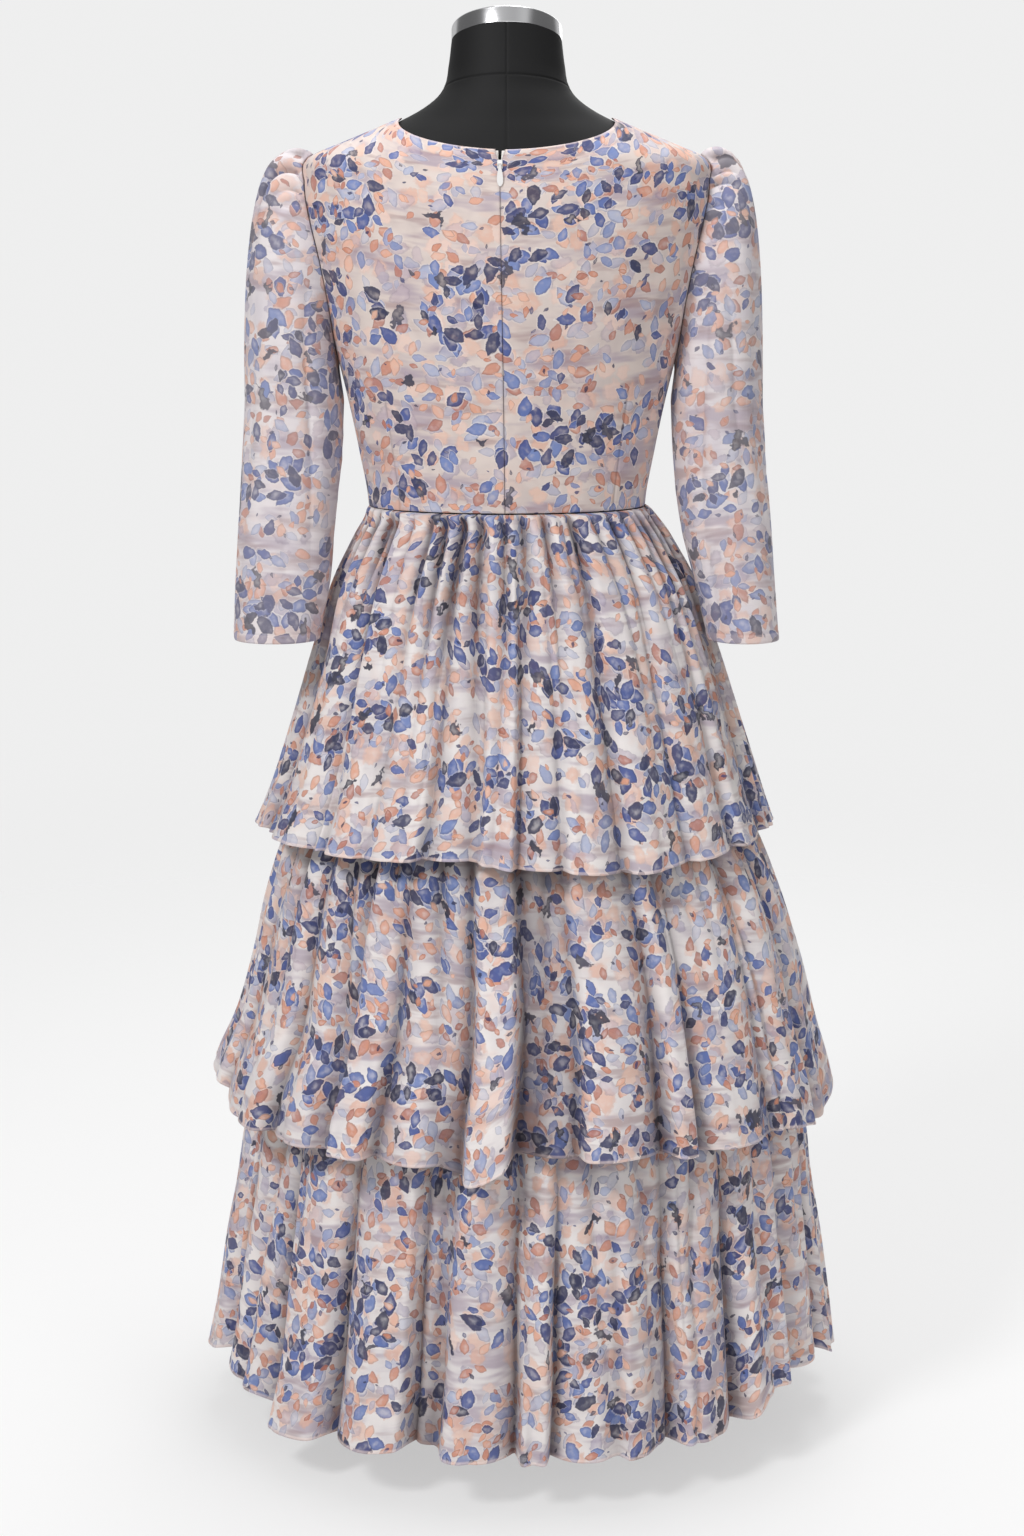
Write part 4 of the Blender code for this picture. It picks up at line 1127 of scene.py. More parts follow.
@dataclass(frozen=True)
class PolishedMetal:
    """Metal with fine turned lines and a little unevenness.

    Attributes:
        name: The material's name.
        colour: The metal's colour.
        roughness: The smooth places' roughness.
        uneven: How much rougher the lines are.
    """

    name: str
    colour: Colour
    roughness: float
    uneven: float

    def build(self) -> bpy.types.Material:
        """Makes the material.

        Returns:
            The material.
        """
        recipe = Recipe(self.name)
        lines = recipe.noise_value(recipe.stretched(recipe.object_place(), 30.0, 30.0, 900.0), 1.0)
        smears = recipe.noise_value(recipe.object_place(), 24.0, 3.0)
        rough = self.roughness + lines * self.uneven + smears * (0.4 * self.uneven)
        metal = recipe.surface({
            "Base Color": self.colour, "Metallic": 1.0, "Roughness": rough,
            "Normal": recipe.relief(lines, 0.00003, 0.25),
        })
        return recipe.done(metal.outputs[0])


@dataclass(frozen=True)
class WhiteLacquer:
    """White lacquered metal of the zip's slider and tab, or its nylon coil.

    Attributes:
        name: The material's name.
        colour: The lacquer's colour.
        coat: How glossy the top coat is.
    """

    name: str
    colour: Colour
    coat: float

    def build(self) -> bpy.types.Material:
        """Makes the material.

        Returns:
            The material.
        """
        recipe = Recipe(self.name)
        mottled = recipe.noise_value(recipe.object_place(), 600.0, 3.0)
        colour = recipe.mix(mottled * 0.2, self.colour, srgb(206, 200, 198))
        lacquer = recipe.surface({
            "Base Color": colour, "Roughness": 0.28 + mottled * 0.14, "Coat Weight": self.coat,
            "Normal": recipe.relief(mottled, 0.00003, 0.2),
        })
        return recipe.done(lacquer.outputs[0])


class Finishes:
    """Every finish of the dress, its form and its stand, built once."""

    def __init__(self) -> None:
        """Builds the materials."""
        self.bodice = PrintedChiffon(
            "bodice_chiffon", srgb(221, 207, 200), srgb(206, 192, 187), 0.04, 0.00035, 0.5
        ).build()
        self.skirt = PrintedChiffon(
            "skirt_chiffon", srgb(235, 229, 227), srgb(218, 212, 213), 0.08, 0.00055, 0.85
        ).build()
        self.sleeve = PrintedChiffon(
            "sleeve_chiffon", srgb(234, 227, 228), srgb(220, 213, 219), 0.14, 0.00045, 0.45, 0.15
        ).build()
        self.base = PlainCloth(
            "base_cloth", srgb(206, 190, 182), srgb(222, 208, 200), 1500.0, 0.85, 0.1
        ).build()
        self.cover = PlainCloth(
            "form_jersey", srgb(15, 15, 16), srgb(28, 28, 29), 1100.0, 0.66, 0.03
        ).build()
        self.tape = PlainCloth(
            "zip_tape", srgb(236, 232, 228), srgb(220, 214, 210), 2200.0, 0.8, 0.1
        ).build()
        self.chrome = PolishedMetal("chrome", srgb(226, 226, 228), 0.10, 0.10).build()
        self.steel = PolishedMetal("satin_steel", srgb(178, 178, 180), 0.28, 0.16).build()
        self.lacquer = WhiteLacquer("white_lacquer", srgb(232, 230, 229), 0.5).build()
        self.nylon = WhiteLacquer("white_nylon", srgb(236, 233, 230), 0.1).build()


def report(piece: bpy.types.Object) -> None:
    """Logs a finished piece with its number of faces."""
    LOG.info("%s: %d faces", piece.name, len(piece.data.polygons))


def settle(piece: bpy.types.Object, slot: str, *nodes: str) -> bpy.types.Object:
    """Puts a piece on the dress's body and hides the solids that it stands for.

    Args:
        piece: The piece.
        slot: The record's material slot. Not used.
        nodes: The solids that it stands for, if any.

    Returns:
        The same piece.
    """
    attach(piece, DRESS_BODY)
    if nodes:
        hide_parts(*nodes)
    report(piece)
    return piece


def dress_node(name: str, finish: bpy.types.Material) -> None:
    """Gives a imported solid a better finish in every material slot."""
    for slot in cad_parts[name].material_slots:
        slot.material = finish


def smooth(data: bpy.types.Mesh, sharp: float) -> None:
    """Shades a mesh smooth, apart from edges above an angle in degrees."""
    data.shade_smooth()
    data.set_sharp_from_angle(angle=math.radians(sharp))


def object_from(mesh: bmesh.types.BMesh, name: str, finish: bpy.types.Material,
                sharp: float = SHARP_ANGLE) -> bpy.types.Object:
    """Turns a bmesh into a smooth-shaded object at the origin.

    Args:
        mesh: The bmesh, which is freed.
        name: The piece's name.
        finish: Its material.
        sharp: The angle in degrees above which an edge stays sharp.

    Returns:
        The object.
    """
    data = bpy.data.meshes.new(name)
    mesh.to_mesh(data)
    mesh.free()
    data.materials.append(finish)
    smooth(data, sharp)
    made = bpy.data.objects.new(name, data)
    bpy.context.scene.collection.objects.link(made)
    return made


def flat_numbers(piece: bpy.types.Object) -> Array:
    """A sheet's flat coordinates as complex numbers, one for each face corner.

    Args:
        piece: The sheet.

    Returns:
        Across as the real part, down as the other.
    """
    spots = np.empty(len(piece.data.loops) * 2, np.float32)
    piece.data.uv_layers[UV_NAME].uv.foreach_get("vector", spots)
    return spots[0::2].astype(float) + 1j * spots[1::2]


def unwrap(piece: bpy.types.Object) -> None:
    """Lays an open sheet flat without shearing it.

    Args:
        piece: The sheet. Its lower part's coordinates set the new ones' size and direction.
    """
    given = flat_numbers(piece)
    bpy.context.view_layer.objects.active = piece
    bpy.ops.object.mode_set(mode="EDIT")
    bpy.ops.mesh.select_all(action="SELECT")
    bpy.ops.uv.unwrap(
        method="MINIMUM_STRETCH", fill_holes=False, correct_aspect=False, margin=0.0,
        iterations=UNWRAP_ROUNDS,
    )
    bpy.ops.object.mode_set(mode="OBJECT")
    made = flat_numbers(piece)
    low = given.imag < np.median(given.imag)
    aim = given[low] - given[low].mean()
    tries = []
    for option in (made, made.conj()):
        away = option - option[low].mean()
        turn = (aim * away[low].conj()).sum() / (np.abs(away[low]) ** 2).sum()
        tries.append((np.abs(turn * away[low] - aim).sum(), turn * away))
    miss, placed = min(tries, key=lambda row: row[0])
    LOG.info("%s: unwrapped, %.1f mm off on average", piece.name, 1000 * miss / low.sum())
    placed = placed + given[low].mean()
    spots = np.stack((placed.real, placed.imag), axis=-1)
    piece.data.uv_layers[UV_NAME].uv.foreach_set("vector", spots.astype(np.float32).ravel())


def cloth_object(name: str, grid: Grid, shape: Shape, finish: bpy.types.Material,
                 flip: bool = False,
                 print_start: tuple[float, float] = (0.0, 0.0)) -> bpy.types.Object:
    """Makes a thin cloth shell from a grid that a shape function bends.

    Args:
        name: The piece's name.
        grid: Its columns and rows.
        shape: Gives the shell for shares across and down.
        finish: Its material.
        flip: Whether the grid's faces have to be turned round to point outwards.
        print_start: Where on the printed roll the piece is cut, in metres.

    Returns:
        The object, with its thickness as a live modifier.
    """
    mesh = bmesh.new()
    bmesh.ops.create_grid(mesh, x_segments=grid.columns, y_segments=grid.rows, size=0.5)
    made = object_from(mesh, name, finish, sharp=180.0)
    data = made.data
    spots = np.empty(len(data.vertices) * 3, np.float32)
    data.vertices.foreach_get("co", spots)
    spots = spots.reshape(-1, 3)
    column = np.rint((spots[:, 0] + 0.5) * grid.columns).astype(int)
    row = np.rint((0.5 - spots[:, 1]) * grid.rows).astype(int)
    across = Grid.spread(np.linspace(0, 1, grid.columns + 1), grid.across_knots)
    down = Grid.spread(np.linspace(0, 1, grid.rows + 1), grid.down_knots)
    shell = shape(*np.meshgrid(across, down))
    data.vertices.foreach_set("co", shell.points[row, column].astype(np.float32).ravel())
    corners = np.empty(len(data.loops), np.int32)
    data.loops.foreach_get("vertex_index", corners)
    flat = shell.flat[row, column][corners] + np.array(print_start)
    layer = data.uv_layers.new(name=UV_NAME)
    layer.uv.foreach_set("vector", flat.astype(np.float32).ravel())
    if grid.unwrapped:
        unwrap(made)
    for key, values in (("seam", shell.seam), ("hem", shell.hem), ("shade", shell.shade)):
        spread = np.broadcast_to(values, shell.points.shape[:2])[row, column]
        made_layer = data.attributes.new(key, "FLOAT", "POINT")
        made_layer.data.foreach_set("value", spread.astype(np.float32))
    mesh = bmesh.new()
    mesh.from_mesh(data)
    if grid.closed:
        bmesh.ops.remove_doubles(mesh, verts=mesh.verts[:], dist=SAME_POINT)
    if flip:
        bmesh.ops.reverse_faces(mesh, faces=mesh.faces[:])
    mesh.to_mesh(data)
    mesh.free()
    wall = made.modifiers.new("thickness", "SOLIDIFY")
    wall.thickness = SHELL
    wall.offset = -1.0
    return made


@dataclass
class Form:
    """The black torso with its chrome neck cap.

    Attributes:
        columns: Faces round the torso.
        rows: Faces up the torso.
        groove: Depth of the cover's sewn seams.
        collar: Section height of the seam that joins the neck.
        cap_edge: Radius of the cap's edges.
    """

    columns: int = 160
    rows: int = 110
    groove: float = 0.0006
    collar: float = 1.3245
    cap_edge: float = 0.0016

    def cover(self, across: Array, down: Array) -> Shell:
        """The cover's surface, drawn in along its back, front and collar seams.

        Args:
            across: Shares across.
            down: Shares down.

        Returns:
            The shell.
        """
        angle = 360.0 * across
        bottom, top = FORM_SECTIONS[0].height, FORM_SECTIONS[-1].height
        height = top + (bottom - top) * down
        points = BodyShape.point(angle, height)
        radius = BodyShape.profile.at(height).half_width
        to_centre = np.minimum(np.abs(turned(angle)), np.abs(turned(angle - 180.0)))
        seam = bump(np.radians(to_centre) * radius, 0.0008)
        seam = np.maximum(seam, bump(height - self.collar, 0.0008))
        points = points - grid_normals(points, True) * (self.groove * seam)[..., None]
        return Shell(points, flat_places(points, 0.5), seam, np.zeros_like(seam))

    def build_torso(self, finishes: Finishes) -> bpy.types.Object:
        """The torso, closed at its neck and its lower end.

        Args:
            finishes: The materials.

        Returns:
            The torso.
        """
        near = 0.018
        grid = Grid(
            self.columns, self.rows,
            ((0.0, 0.0), (0.06, near), (0.44, 0.5 - near), (0.56, 0.5 + near),
             (0.94, 1 - near), (1.0, 1.0)),
            ((0.0, 0.0), (0.06, 0.0605), (0.16, 0.0690), (0.34, 0.16), (1.0, 1.0)),
            closed=True,
        )
        torso = cloth_object("form_torso_cover", grid, self.cover, finishes.cover)
        torso.modifiers.clear()
        mesh = bmesh.new()
        mesh.from_mesh(torso.data)
        rims = [edge for edge in mesh.edges if edge.is_boundary]
        bmesh.ops.holes_fill(mesh, edges=rims, sides=0)
        bmesh.ops.triangulate(mesh, faces=[face for face in mesh.faces if len(face.verts) > 4])
        bmesh.ops.recalc_face_normals(mesh, faces=mesh.faces[:])
        mesh.to_mesh(torso.data)
        mesh.free()
        smooth(torso.data, SHARP_ANGLE)
        return settle(torso, "form_cover", "form_torso")

    def build_cap(self, finishes: Finishes) -> bpy.types.Object:
        """The turned cap, which stands square on the neck's sloping end.

        Args:
            finishes: The materials.

        Returns:
            The cap.
        """
        top = FORM_SECTIONS[-1]
        slope = math.atan(top.lean)
        low, high = -0.5 * CAP_HEIGHT, 0.5 * CAP_HEIGHT
        outline = [(0.0, low), (CAP_RADIUS - 0.0006, low), (CAP_RADIUS, low + 0.0006)]
        for step in range(7):
            turn = math.pi / 2 * step / 6
            outline.append((
                CAP_RADIUS - self.cap_edge * (1 - math.cos(turn)),
                high - self.cap_edge * (1 - math.sin(turn)),
            ))
        outline += [(CAP_RADIUS - 0.006, high - 0.0002), (0.0, high - 0.0004)]
        mesh = bmesh.new()
        corners = [mesh.verts.new((radius, 0.0, z)) for radius, z in outline]
        edges = [mesh.edges.new(pair) for pair in zip(corners, corners[1:])]
        bmesh.ops.spin(
            mesh, geom=corners + edges, cent=(0, 0, 0), axis=(0, 0, 1), angle=math.tau,
            steps=128, use_merge=True,
        )
        bmesh.ops.remove_doubles(mesh, verts=mesh.verts[:], dist=SAME_POINT)
        bmesh.ops.recalc_face_normals(mesh, faces=mesh.faces[:])
        bmesh.ops.scale(mesh, verts=mesh.verts[:], vec=(1, 1 / math.cos(slope), 1))
        middle_y = 0.5 * (top.front - top.back)
        seat = Vector((0, middle_y, top.height - top.lean * middle_y))
        axis = Vector((0, math.sin(slope), math.cos(slope)))
        bmesh.ops.rotate(mesh, verts=mesh.verts[:], matrix=Matrix.Rotation(-slope, 3, "X"))
        bmesh.ops.translate(mesh, verts=mesh.verts[:], vec=seat + axis * (SEAM - low))
        cap = object_from(mesh, "neck_cap", finishes.chrome, sharp=40.0)
        return settle(cap, "chrome", "form_neck_cap")

    def build(self, finishes: Finishes) -> None:
        """Builds the form and finishes its stand.

        Args:
            finishes: The materials.
        """
        self.build_torso(finishes)
        self.build_cap(finishes)
        dress_node("stand_foot", finishes.steel)
        dress_node("stand_pole", finishes.steel)


BACK_CREASES = table(Crease, (
    (0.05, 0.97, 0.42, 0.9, 0.006, -0.0005), (0.1, 0.86, 0.4, 0.92, 0.005, 0.0005),
    (0.98, 0.62, 0.55, 0.78, 0.008, -0.001), (0.98, 0.7, 0.6, 0.88, 0.007, 0.0009),
    (0.95, 0.8, 0.66, 0.95, 0.006, -0.0007), (0.9, 0.3, 0.6, 0.5, 0.01, 0.0009),
    (0.88, 0.42, 0.55, 0.62, 0.01, -0.0008), (0.06, 0.22, 0.4, 0.27, 0.008, -0.0004),
))
FRONT_CREASES = table(Crease, (
    (0.02, 0.62, 0.3, 0.8, 0.008, -0.001), (0.98, 0.6, 0.72, 0.78, 0.008, -0.001),
    (0.3, 0.92, 0.7, 0.95, 0.006, 0.0005), (0.2, 0.35, 0.4, 0.55, 0.01, 0.0009),
    (0.8, 0.33, 0.62, 0.55, 0.01, 0.0009),
))


@dataclass
class Bodice:
    """The back panels with their waist darts, and the front panel.

    Attributes:
        dart_low: Share across a back panel where its dart meets the waist.
        dart_high: Share across where the dart ends.
        dart_end: Share of the panel's height that the dart reaches.
        roll: How far cloth turns in at a seam.
        roll_width: How wide that turn is.
        columns: Faces across a back panel.
        rows: Faces up a panel.
        front_columns: Faces across the front panel.
        front_rows: Faces up the front panel.
        neck_turn: How far the neck edge turns in, and how wide that turn is.
        dart_depth: How far a dart is drawn in.
        dart_width: How wide a dart's crease is.
        dart_fade: Share of the height over which a dart ends.
        stitch_line: A stitch line's distance from the neck edge, width and depth.
        seam_tone: How wide the darker tone along a seam is.
        neck_hem: How wide the hem at the neck is.
        calm: Distances from the side and from the waist over which creases fade in.
    """

    dart_low: float = 0.555
    dart_high: float = 0.500
    dart_end: float = 0.36
    roll: float = 0.0003
    roll_width: float = 0.0014
    columns: int = 84
    rows: int = 96
    front_columns: int = 110
    front_rows: int = 90
    neck_turn: tuple[float, float] = (0.0006, 0.0012)
    dart_depth: float = 0.0010
    dart_width: float = 0.0011
    dart_fade: float = 0.06
    stitch_line: tuple[float, float, float] = (0.0055, 0.0009, 0.00025)
    seam_tone: float = 0.0010
    neck_hem: float = 0.0035
    calm: tuple[float, float] = (0.02, 0.01)

    def finish_panel(self, points: Array, outward: float, creases: list[Crease],
                     dart: Array, centre: float, across: Array,
                     down: Array) -> Shell:
        """Adds seams, dart and creases to a panel's surface.

        Args:
            points: The panel's surface.
            outward: 1 or -1, which turns the grid's normals outwards.
            creases: Its soft creases.
            dart: How close each point is to a dart, 0 to 1.
            centre: The share across that stays straight when laid flat.
            across: Shares across.
            down: Shares down.

        Returns:
            The finished shell.
        """
        flat = flat_places(points, centre)
        width = float(np.ptp(flat[..., 0], axis=1).mean())
        length = float(np.ptp(flat[..., 1], axis=0).mean())
        start, end = flat[:, :1, 0], flat[:, -1:, 0]
        to_side = np.minimum(flat[..., 0] - start, end - flat[..., 0])
        to_waist = flat[..., 1] - flat[-1:, :, 1]
        to_neck = flat[:1, :, 1] - flat[..., 1]
        edge = np.maximum(bump(to_side, self.roll_width), bump(to_waist, self.roll_width))
        turn, turn_width = self.neck_turn
        stitched, stitch_width, stitch_depth = self.stitch_line
        relief = crease_relief(creases, across, down, width, length)
        relief = relief * smooth_step(to_side / self.calm[0])
        relief = relief * smooth_step(to_waist / self.calm[1])
        relief = relief - self.roll * edge - turn * bump(to_neck, turn_width)
        relief = relief - self.dart_depth * dart
        relief = relief - stitch_depth * bump(to_neck - stitched, stitch_width)
        seam = np.maximum(bump(to_side, self.seam_tone), 0.5 * bump(to_waist, self.seam_tone))
        seam = np.maximum(seam, dart)
        hem = smooth_step((self.neck_hem - to_neck) / 0.001)
        points = points + outward * grid_normals(points, False) * relief[..., None]
        return Shell(points, flat, seam, hem)

    def back(self, side: int, across: Array, down: Array) -> Shell:
        """The shape of the back panel on one side of the zip.

        Args:
            side: 1 for the wearer's right and -1 for the left.
            across: Shares from the zip to the side.
            down: Shares from the neck to the waist.

        Returns:
            The shell.
        """
        share = 1 - down
        dart_at = self.dart_high + (self.dart_low - self.dart_high) * down
        across = self.pass_through(across, dart_at)
        edge = armhole_edge(share, BACK_ARMHOLE_BITE)
        height = row_height(edge * across, share)
        opened = smooth_step((height - (BACK_NECK - NOTCH_DEPTH)) / NOTCH_DEPTH)
        gap = 0.5 * SEAM + NOTCH_HALF_WIDTH * opened
        gap = np.degrees(gap / BodyShape.profile.at(height).half_width)
        gap = gap - side * (ZIP_OFF_CENTRE + ZIP_DRIFT * share)
        edge = edge - np.degrees(0.5 * SEAM / BodyShape.profile.at(height).back)
        angle = gap + (edge - gap) * across
        height = row_height(angle, share)
        rise = ease_at(angle, height) + WALL
        points = BodyShape.over(side * angle, height, rise)
        width = np.ptp(flat_places(points, 0.0)[..., 0], axis=1)[:, None]
        off = (across - dart_at) * width
        dart = bump(off, self.dart_width)
        dart = dart * smooth_step((self.dart_end - share) / self.dart_fade)
        panel = self.finish_panel(points, side, BACK_CREASES, dart, 0.0, across, down)
        panel.flat[..., 0] *= side
        return panel

    @staticmethod
    def pass_through(across: Array, target: Array) -> Array:
        """Moves the middle column of a grid to a target share, the rest in step.

        Args:
            across: Shares across.
            target: The share across that the middle column goes to.

        Returns:
            The moved shares.
        """
        low = across / 0.5 * target
        high = target + (across - 0.5) / 0.5 * (1 - target)
        return np.where(across < 0.5, low, high)

    def front(self, across: Array, down: Array) -> Shell:
        """The shape of the front panel, from its +X side to its -X side.

        Args:
            across: Shares across.
            down: Shares down.

        Returns:
            The shell.
        """
        share = 1 - down
        edge = armhole_edge(share, FRONT_ARMHOLE_BITE)
        depth = BodyShape.profile.at(row_height(np.full_like(share, 180.0), share)).front
        edge = edge - np.degrees(0.5 * SEAM / depth)
        angle = 180.0 - edge * (1 - 2 * across)
        height = row_height(angle, share)
        points = BodyShape.over(angle, height, ease_at(angle, height) + WALL)
        dart = np.zeros_like(share)
        return self.finish_panel(points, 1.0, FRONT_CREASES, dart, 0.5, across, down)

    def build(self, finishes: Finishes) -> None:
        """Builds the three panels.

        Args:
            finishes: The materials.
        """
        back_knots = (
            (0.0, 0.0), (0.10, 0.02), (0.44, 0.465), (0.56, 0.535), (0.90, 0.98), (1.0, 1.0),
        )
        down_knots = ((0.0, 0.0), (0.10, 0.025), (0.92, 0.985), (1.0, 1.0))
        front_knots = ((0.0, 0.0), (0.06, 0.012), (0.94, 0.988), (1.0, 1.0))
        grid = Grid(self.columns, self.rows, back_knots, down_knots)
        for side, name in ((1, "bodice_back_right"), (-1, "bodice_back_left")):
            shape = partial(self.back, side)
            panel = cloth_object(
                name + "_cloth", grid, shape, finishes.bodice, side < 0, (1.3, 0.7)
            )
            settle(panel, "printed_chiffon", name)
        grid = Grid(self.front_columns, self.front_rows, front_knots, down_knots)
        panel = cloth_object(
            "bodice_front_cloth", grid, self.front, finishes.bodice, print_start=(2.9, 0.2)
        )
        settle(panel, "printed_chiffon", "bodice_front")


class Fold(NamedTuple):
    """A long soft fold of a sleeve: where it lies, how far it reaches and how it leans."""

    around: float
    middle: float
    reach: float
    lean: float
    width: float
    lift: float


SLEEVE_FOLDS = table(Fold, (
    (0.185, 0.42, 0.26, -0.1, 0.05, -0.0042), (0.3, 0.36, 0.22, 0.12, 0.045, -0.0026),
    (0.4, 0.52, 0.24, 0.06, 0.05, -0.0018), (0.25, 0.72, 0.16, -0.16, 0.04, -0.0016),
    (0.7, 0.42, 0.26, 0.1, 0.05, -0.0036), (0.82, 0.5, 0.22, -0.08, 0.05, -0.0026),
))


@dataclass
class Sleeve:
    """A three-quarter sleeve, gathered into its armhole.

    Attributes:
        side: 1 for the wearer's right and -1 for the left.
        rows_table: Its sections below the armhole.
        pleats: Number of gathers round its head.
        pleat_depth: How deep they are drawn in.
        seed: Start of its chance folds.
        cap_share: Share of its rows that make up the head.
        edge_lift: Share of the seam's lift that its sewn edge keeps.
        head_spread: How far round the head its gathers and puff reach.
        gathered: Where the gathers start and end round the head.
        gather_width: A gather's width at the seam, and how much it widens down the head.
        puff: How far the head swells out.
        soft_folds: Number of chance folds along the sleeve.
        cross_folds: Number of chance folds across it.
        hem_width: Width of the cuff's hem.
        stitch_line: Distance of the hem's stitch line from the cuff.
        full_shade: The depth at which a gather is fully shaded.
    """

    side: int
    rows_table: list[Cuff]
    seed: int
    pleats: int = 10
    pleat_depth: float = 0.0085
    cap_share: float = 0.42
    edge_lift: float = -0.1
    head_spread: float = 0.15
    gathered: tuple[float, float] = (0.355, 0.645)
    gather_width: tuple[float, float] = (0.015, 0.034)
    puff: float = 0.0030
    soft_folds: int = 9
    cross_folds: int = 7
    hem_width: float = 0.0090
    stitch_line: float = 0.0092
    full_shade: float = 0.006

    def armhole(self, around: Array, share_of_lift: float) -> Array:
        """The seam line: 0 under the arm, up the back, 0.5 on the shoulder, down the front.

        Args:
            around: Shares round the sleeve.
            share_of_lift: Share of the seam's lift.

        Returns:
            Places in metres.
        """
        climb = np.where(around <= 0.5, 2 * around, 2 - 2 * around)
        share = UNDERARM_SHARE + (SHOULDER_SHARE - UNDERARM_SHARE) * climb
        back_angle = armhole_edge(share, BACK_ARMHOLE_BITE)
        front_angle = 180.0 - armhole_edge(share, FRONT_ARMHOLE_BITE)
        angle = np.where(around <= 0.5, back_angle, front_angle)
        height = row_height(angle, share)
        outer = 0.5 * (1 - np.cos(2 * np.pi * around))
        lift = share_of_lift * (SEAM * SLEEVE_SEAM + WALL * smooth_step(SLEEVE_LAP * outer))
        return BodyShape.over(angle, height, ease_at(angle, height) + WALL + lift)

    def section(self, around: Array, height: Array) -> Array:
        """A place on the sleeve below the armhole.

        Args:
            around: Shares round the sleeve.
            height: Heights in metres.

        Returns:
            Places in metres.
        """
        section = Profile(self.rows_table).at(height)
        turn = 2 * np.pi * around
        centre = 0.5 * (section.inner + section.outer)
        x = centre - 0.5 * (section.outer - section.inner) * np.cos(turn)
        y = section.middle - section.half_depth * np.sin(turn)
        return np.stack((x, y, np.broadcast_to(height, x.shape)), axis=-1)

    def cap(self, around: Array, fall: Array) -> Array:
        """A place on the sleeve's head, from the seam at fall 0 to the arm at 1.

        Args:
            around: Shares round the sleeve.
            fall: Shares down the sleeve's head.

        Returns:
            Places in metres.
        """
        turn = 2 * np.pi * around
        outer = (0.5 * (1 - np.cos(turn)))[..., None]
        start = self.armhole(around, self.edge_lift)
        end = self.section(around, np.full_like(around, SLEEVE_TOP))
        leave = self.armhole(around, 1.0) + CAP_UNDER * (1 - outer) + CAP_OUT * outer
        leave[..., 1] -= CAP_BACKWARD * np.sin(turn)
        drop = UNDERARM_FALL + (CAP_FALL - UNDERARM_FALL) * outer[..., 0]
        arrive = end.copy()
        arrive[..., 2] += drop
        rest = (1 - fall)[..., None]
        fall = fall[..., None]
        point = start * rest**3 + leave * (3 * rest * rest * fall)
        return point + arrive * (3 * rest * fall * fall) + end * fall**3

    def folds(self, around: Array, down: Array, fall: Array) -> tuple[Array, Array]:
        """The gathers and the soft folds.

        Args:
            around: Shares round the sleeve.
            down: Shares from the armhole to the cuff.
            fall: Shares down the sleeve's head.

        Returns:
            The lift in metres, and the painted shade of each point, by how deep it lies in a
            gather.
        """
        chance = np.random.default_rng(self.seed)
        head = bump(around - 0.5, self.head_spread)
        narrow, widening = self.gather_width
        drawn = np.zeros_like(around)
        for spot in np.linspace(*self.gathered, self.pleats):
            place = spot + chance.uniform(-0.009, 0.009)
            depth = self.pleat_depth * chance.uniform(0.55, 1.2)
            reach = chance.uniform(0.22, 0.62)
            drift = chance.uniform(-0.03, 0.03)
            off = (around - place - drift * fall) / (narrow + widening * fall)
            start = smooth_step((fall + 0.015) / 0.07)
            drawn += depth * cusp(off, 1.0) * bump(fall, reach) * start
        drawn = drawn * head
        lift = self.puff * bump(fall - 0.20, 0.22) * head - drawn
        for place, middle, reach, lean, width, depth in SLEEVE_FOLDS:
            off = around - place - lean * (down - middle)
            lift = lift + depth * cusp(off, width) * bump(down - middle, reach)
        for _ in range(self.soft_folds):
            place, width = chance.uniform(0.1, 0.9), chance.uniform(0.018, 0.045)
            middle, reach = chance.uniform(0.35, 0.95), chance.uniform(0.14, 0.36)
            lean, depth = chance.uniform(-0.10, 0.10), chance.uniform(-0.0026, 0.0018)
            off = turned(360 * (around - place - lean * (down - middle))) / 360
            lift = lift + depth * bump(off, width) * bump(down - middle, reach)
        for _ in range(self.cross_folds):
            middle, place = chance.uniform(0.50, 0.82), chance.uniform(0.0, 1.0)
            depth, slope = chance.uniform(-0.0016, 0.0010), chance.uniform(-0.16, 0.16)
            off = turned(360 * (around - place)) / 360
            lift = lift + depth * bump(down - middle - slope * off, 0.016) * bump(off, 0.16)
        # Painted shade: deep gathers darken the cloth's colour.
        return lift, smooth_step(drawn / self.full_shade) ** 1.5

    def shape(self, across: Array, down: Array) -> Shell:
        """The whole sleeve from its armhole to its cuff.

        Args:
            across: Shares across.
            down: Shares down.

        Returns:
            The shell.
        """
        around = across
        fall = np.clip(down / self.cap_share, 0.0, 1.0)
        below = np.clip((down - self.cap_share) / (1 - self.cap_share), 0.0, 1.0)
        height = SLEEVE_TOP + (CUFF_EDGE - SLEEVE_TOP) * below
        in_cap = (down <= self.cap_share)[..., None]
        points = np.where(in_cap, self.cap(around, fall), self.section(around, height))
        flat = flat_places(points, 0.5)
        to_cuff = arc_lengths(points, 0)[::-1].cumsum(axis=0)[::-1]
        to_cuff = np.concatenate((to_cuff, np.zeros((1, points.shape[1]))))
        flat[..., 1] = to_cuff
        lift, shade = self.folds(around, down, fall)
        lift = lift * smooth_step(to_cuff / 0.02 + 0.35)
        hem = smooth_step((self.hem_width - to_cuff) / 0.0012)
        lift = lift + 0.0003 * hem - 0.0005 * bump(to_cuff, 0.0010)
        lift = lift - 0.0003 * bump(to_cuff - self.stitch_line, 0.0009)
        from_top = flat[:1, :, 1] - flat[..., 1]
        lift = lift * smooth_step(from_top / 0.006 + 0.1) - 0.0003 * bump(from_top, 0.0014)
        points = points + grid_normals(points, True) * lift[..., None]
        points[..., 0] *= self.side
        stitches = 0.35 * bump(to_cuff - self.stitch_line, 0.0007)
        seam = np.maximum(bump(from_top, 0.0011), stitches)
        return Shell(points, flat, seam, hem * 0.5, shade)

